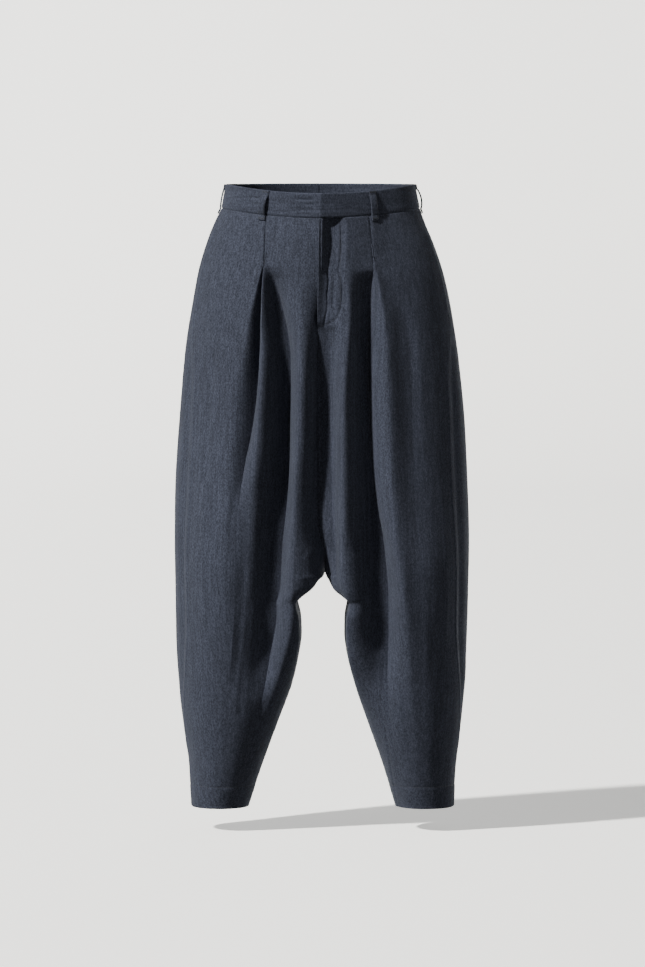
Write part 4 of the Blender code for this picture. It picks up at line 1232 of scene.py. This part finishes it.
def sewn(name, stitches, sewing, stretch=1.0):
    """One mesh of many stitches, each a copy of the same one."""
    shape, faces = one_stitch(sewing)
    points = []
    polygons = []
    for middle, way, away in stitches:
        way = way / np.linalg.norm(way)
        away = away - way * float(np.dot(away, way))
        away /= np.linalg.norm(away)
        side = np.cross(away, way)
        start = len(points) * len(shape)
        scaled = shape * np.array([stretch, 1.0, THREAD_FLATNESS])
        turned = scaled[:, :1] * way + scaled[:, 1:2] * side + scaled[:, 2:3] * away
        points.append(middle + away * THREAD_RISE * sewing.thread + turned)
        polygons += [[start + index for index in face] for face in faces]
    mesh = bpy.data.meshes.new(name)
    mesh.from_pydata(np.concatenate(points).tolist(), [], polygons)
    mesh.shade_smooth()
    made = bpy.data.objects.new(name, mesh)
    bpy.context.scene.collection.objects.link(made)
    made.data.materials.append(thread_finish("navy_thread", tuple(sewing.thread_colour)))
    finish_piece(made)
    return made


def on_front(surface, places):
    """Points and outward directions on the front of a finished half, from distances across and drops."""
    span = slice(0, surface.seam + 1)
    points = []
    out = []
    for place, drop in places:
        row = float(np.interp(drop, surface.drops, np.arange(len(surface.drops))))
        low = min(int(row), len(surface.drops) - 2)
        share = row - low
        found = []
        for each in (low, low + 1):
            across = surface.across[each, span]
            order = np.argsort(across)
            found.append([read_along(place, across[order], values[each, span][order])
                          for values in (surface.points, surface.out)])
        points.append(found[0][0] * (1.0 - share) + found[1][0] * share)
        out.append(found[0][1] * (1.0 - share) + found[1][1] * share)
    return np.array(points), np.array(out)


PATH_STEP = 0.002


def dense(path):
    """A path of places with more points between the given ones, rounded at its corners."""
    path = np.array(path, dtype=float)
    for _ in range(3):
        between = np.empty((2 * len(path) - 2, 2))
        between[0::2] = 0.75 * path[:-1] + 0.25 * path[1:]
        between[1::2] = 0.25 * path[:-1] + 0.75 * path[1:]
        path = np.concatenate([path[:1], between, path[-1:]])
    lengths = lengths_along(path)
    at = np.linspace(0.0, lengths[-1], max(int(lengths[-1] / PATH_STEP), 2))
    return np.stack([np.interp(at, lengths, path[:, 0]), np.interp(at, lengths, path[:, 1])], axis=-1)


class TROUSERS_OT_stitches(bpy.types.Operator):
    """Sews the fly, the hems, the belt loops and the ends of the pockets"""
    bl_idname = "trousers.stitches"
    bl_label = "Stitches"

    def execute(self, context):
        cloth = context.scene.trousers_cloth
        sewing = context.scene.trousers_sewing
        surfaces = {half.name: half_surface(half.name, cloth.crease_depth, cloth.swell) for half in HALVES}
        fly = stitches_along(*on_front(surfaces["left"], dense(FLY_STITCH)), sewing)
        sewn("fly_stitches", fly, sewing)
        hems = []
        tacks = []
        for surface in surfaces.values():
            row = int(np.abs(surface.drops - (HEM - HEM_FOLD)).argmin())
            hems += stitches_along(surface.points[row], surface.out[row], sewing)
            for drop in (POCKET_TOP, POCKET_END):
                tacks += pocket_tack(surface, drop)
        sewn("hem_stitches", hems, sewing)
        sewn("pocket_stitches", tacks, sewing)
        edges = []
        bars = []
        for loop in LOOPS:
            points, _ = loop_surface(loop)
            out = loop_directions(points)
            for column in (2, LOOP_COLUMNS - 2):
                edges += stitches_along(points[2:-2, column], out[2:-2, column], sewing)
            for row in (2, 3, 4, LOOP_ROWS - 4, LOOP_ROWS - 3, LOOP_ROWS - 2):
                bars += stitches_along(points[row, 1:-1], out[row, 1:-1], sewing)
        sewn("loop_stitches", edges, sewing)
        sewn("loop_bar_stitches", bars, sewing, 1.3)
        return {"FINISHED"}


TACK_STITCHES = 7
TACK_PITCH = 0.0011
TACK_RISE = 0.0003


def pocket_tack(surface, drop):
    """A short bar of close stitches across the side seam."""
    found = []
    for number in range(TACK_STITCHES):
        row = int(np.abs(surface.drops - drop - TACK_PITCH * (number - TACK_STITCHES // 2)).argmin())
        found.append((
            surface.points[row, surface.seam] + surface.out[row, surface.seam] * TACK_RISE,
            surface.points[row, surface.seam + 2] - surface.points[row, surface.seam - 2],
            surface.out[row, surface.seam]))
    return found


# Stage


class TROUSERS_OT_stage(bpy.types.Operator):
    """Makes the pale floor and backdrop, the lights and the camera"""
    bl_idname = "trousers.stage"
    bl_label = "Stage"

    def execute(self, context):
        stage = context.scene.trousers_stage
        make_paper(stage)
        make_lights(stage)
        make_camera(stage)
        return {"FINISHED"}


PAPER_RADIUS = 18.0
PAPER_SIDES = 128
PAPER_WALL = 16.0
PAPER_CURVE = 7.0
PAPER_CURVE_STEPS = 32
PAPER_INSET = 0.2

# The paper glows more on the left than on the right of the part, over this distance from its middle
GLOW_REACH = 1.1
GLOW_LEFT = 1.60
GLOW_RIGHT = 0.80

# The lights: their width in degrees, their colour, and the way from the part toward them
SunLight = namedtuple("SunLight", "name degrees colour way has_shadow")
KEY_LIGHT = SunLight("key_light", 3.5, (1.0, 0.985, 0.955), (-0.587, -0.492, 0.643), True)
SIDE_LIGHT = SunLight("side_light", 120.0, (1.0, 0.985, 0.96), (0.80, -0.55, 0.10), True)
BACK_LIGHT = SunLight("back_light", 40.0, (1.0, 1.0, 1.0), (0.24, 0.96, 0.12), False)

# The camera stands before the waist, and sees this width at the part
SENSOR_WIDTH = 36.0
VIEW_WIDTH = 1.518
CAMERA_HEIGHT = 0.02
CAMERA_AIM = (0.0039, 0.0, -0.4325)
CAMERA_CLIP = 60.0


def make_paper(stage):
    """A round studio of pale paper: the floor, a wide curve, and the wall all round."""
    bpy.ops.object.select_all(action="DESELECT")
    bpy.ops.mesh.primitive_cylinder_add(
        vertices=PAPER_SIDES, radius=PAPER_RADIUS, depth=PAPER_WALL, end_fill_type="NGON")
    made = bpy.context.object
    made.name = "paper_sweep"
    shape = bmesh.new()
    shape.from_mesh(made.data)
    bmesh.ops.translate(shape, verts=shape.verts[:], vec=(0.0, 0.0, stage.floor_height + 0.5 * PAPER_WALL))
    ends = sorted((face for face in shape.faces if len(face.verts) > 4),
                  key=lambda face: face.verts[0].co.z)
    floor_edges = list(ends[0].edges)
    bmesh.ops.delete(shape, geom=[ends[1]], context="FACES_ONLY")
    bmesh.ops.bevel(shape, geom=floor_edges, offset=PAPER_CURVE, segments=PAPER_CURVE_STEPS, profile=0.5,
                     affect="EDGES")
    floor = [face for face in shape.faces if len(face.verts) > 4]
    bmesh.ops.inset_region(shape, faces=floor, thickness=PAPER_INSET)
    bmesh.ops.recalc_face_normals(shape, faces=shape.faces[:])
    bmesh.ops.reverse_faces(shape, faces=shape.faces[:])
    shape.to_mesh(made.data)
    shape.free()
    made.data.shade_smooth()
    made.data.materials.append(paper_finish(stage))
    made.visible_diffuse = False
    made.visible_shadow = False


def paper_finish(stage):
    """Pale matt paper that shines a little by itself, more on the left than on the right."""
    material = bpy.data.materials.new("pale_paper")
    material.use_nodes = True
    shader = material.node_tree.nodes["Principled BSDF"]
    where = (add_node(material, "ShaderNodeTexCoord"), "Object")
    fibre = add_node(material, "ShaderNodeTexNoise", {"Scale": 2.0, "Detail": 3.0}, where)
    shades = ranged(material, fibre, "Fac", 0.3, 0.7, 0.995, 1.005)
    toned = mixed(material, 1.0, tuple(stage.paper), (shades, "Result"), "MULTIPLY")
    join(material, toned, 2, shader, "Base Color")
    shader.inputs["Roughness"].default_value = 0.95
    shader.inputs["Specular IOR Level"].default_value = 0.0
    sides = add_node(material, "ShaderNodeSeparateXYZ", None, where)
    glow = ranged(material, sides, "X", -GLOW_REACH, GLOW_REACH,
                  GLOW_LEFT * stage.paper_glow, GLOW_RIGHT * stage.paper_glow)
    join(material, glow, "Result", shader, "Emission Strength")
    shader.inputs["Emission Color"].default_value = (1.0, 0.995, 0.97, 1.0)
    return material


def sun_light(light, strength):
    """A light from far away, as its row describes it."""
    sun = bpy.data.lights.new(light.name, "SUN")
    sun.energy = strength
    sun.angle = math.radians(light.degrees)
    sun.color = light.colour
    sun.use_shadow = light.has_shadow
    made = bpy.data.objects.new(light.name, sun)
    made.rotation_euler = Vector(light.way).to_track_quat("Z", "Y").to_euler()
    bpy.context.scene.collection.objects.link(made)


def make_lights(stage):
    sun_light(KEY_LIGHT, stage.sun_strength)
    sun_light(SIDE_LIGHT, stage.side_strength)
    sun_light(BACK_LIGHT, stage.back_strength)
    world = bpy.data.worlds.new("studio")
    world.use_nodes = True
    sky = world.node_tree.nodes["Background"]
    sky.inputs["Color"].default_value = (1.0, 0.99, 0.97, 1.0)
    sky.inputs["Strength"].default_value = stage.sky_strength
    bpy.context.scene.world = world


def make_camera(stage):
    distance = stage.camera_distance
    lens = bpy.data.cameras.new("camera")
    lens.sensor_width = SENSOR_WIDTH
    lens.lens = SENSOR_WIDTH * distance / VIEW_WIDTH
    lens.clip_end = CAMERA_CLIP
    made = bpy.data.objects.new("camera", lens)
    made.location = (0.0, -distance, CAMERA_HEIGHT)
    aim = Vector(CAMERA_AIM) - made.location
    made.rotation_euler = aim.to_track_quat("-Z", "Y").to_euler()
    bpy.context.scene.collection.objects.link(made)
    bpy.context.scene.camera = made


class TROUSERS_PT_panel(bpy.types.Panel):
    """Lists the settings and the pieces"""
    bl_idname = "TROUSERS_PT_panel"
    bl_label = "Trousers"
    bl_space_type = "VIEW_3D"
    bl_region_type = "UI"
    bl_category = "Trousers"

    def draw(self, context):
        for title, group in (
            ("Cloth", context.scene.trousers_cloth),
            ("Sewing", context.scene.trousers_sewing),
            ("Stage", context.scene.trousers_stage),
        ):
            box = self.layout.box()
            box.label(text=title)
            for name in group.__annotations__:
                box.prop(group, name)
        for operator in OPERATORS:
            self.layout.operator(operator.bl_idname)


GROUPS = (TROUSERS_PG_cloth, TROUSERS_PG_sewing, TROUSERS_PG_stage)
OPERATORS = (TROUSERS_OT_panels, TROUSERS_OT_waistband, TROUSERS_OT_loops, TROUSERS_OT_stitches,
             TROUSERS_OT_stage)
CLASSES = GROUPS + OPERATORS + (TROUSERS_PT_panel,)


def register():
    for each in CLASSES:
        bpy.utils.register_class(each)
    bpy.types.Scene.trousers_cloth = bpy.props.PointerProperty(type=TROUSERS_PG_cloth)
    bpy.types.Scene.trousers_sewing = bpy.props.PointerProperty(type=TROUSERS_PG_sewing)
    bpy.types.Scene.trousers_stage = bpy.props.PointerProperty(type=TROUSERS_PG_stage)


def unregister():
    del bpy.types.Scene.trousers_stage
    del bpy.types.Scene.trousers_sewing
    del bpy.types.Scene.trousers_cloth
    for each in reversed(CLASSES):
        bpy.utils.unregister_class(each)


def main():
    register()
    bpy.ops.trousers.panels()
    bpy.ops.trousers.waistband()
    bpy.ops.trousers.loops()
    bpy.ops.trousers.stitches()
    bpy.ops.trousers.stage()


if __name__ == "__main__":
    main()
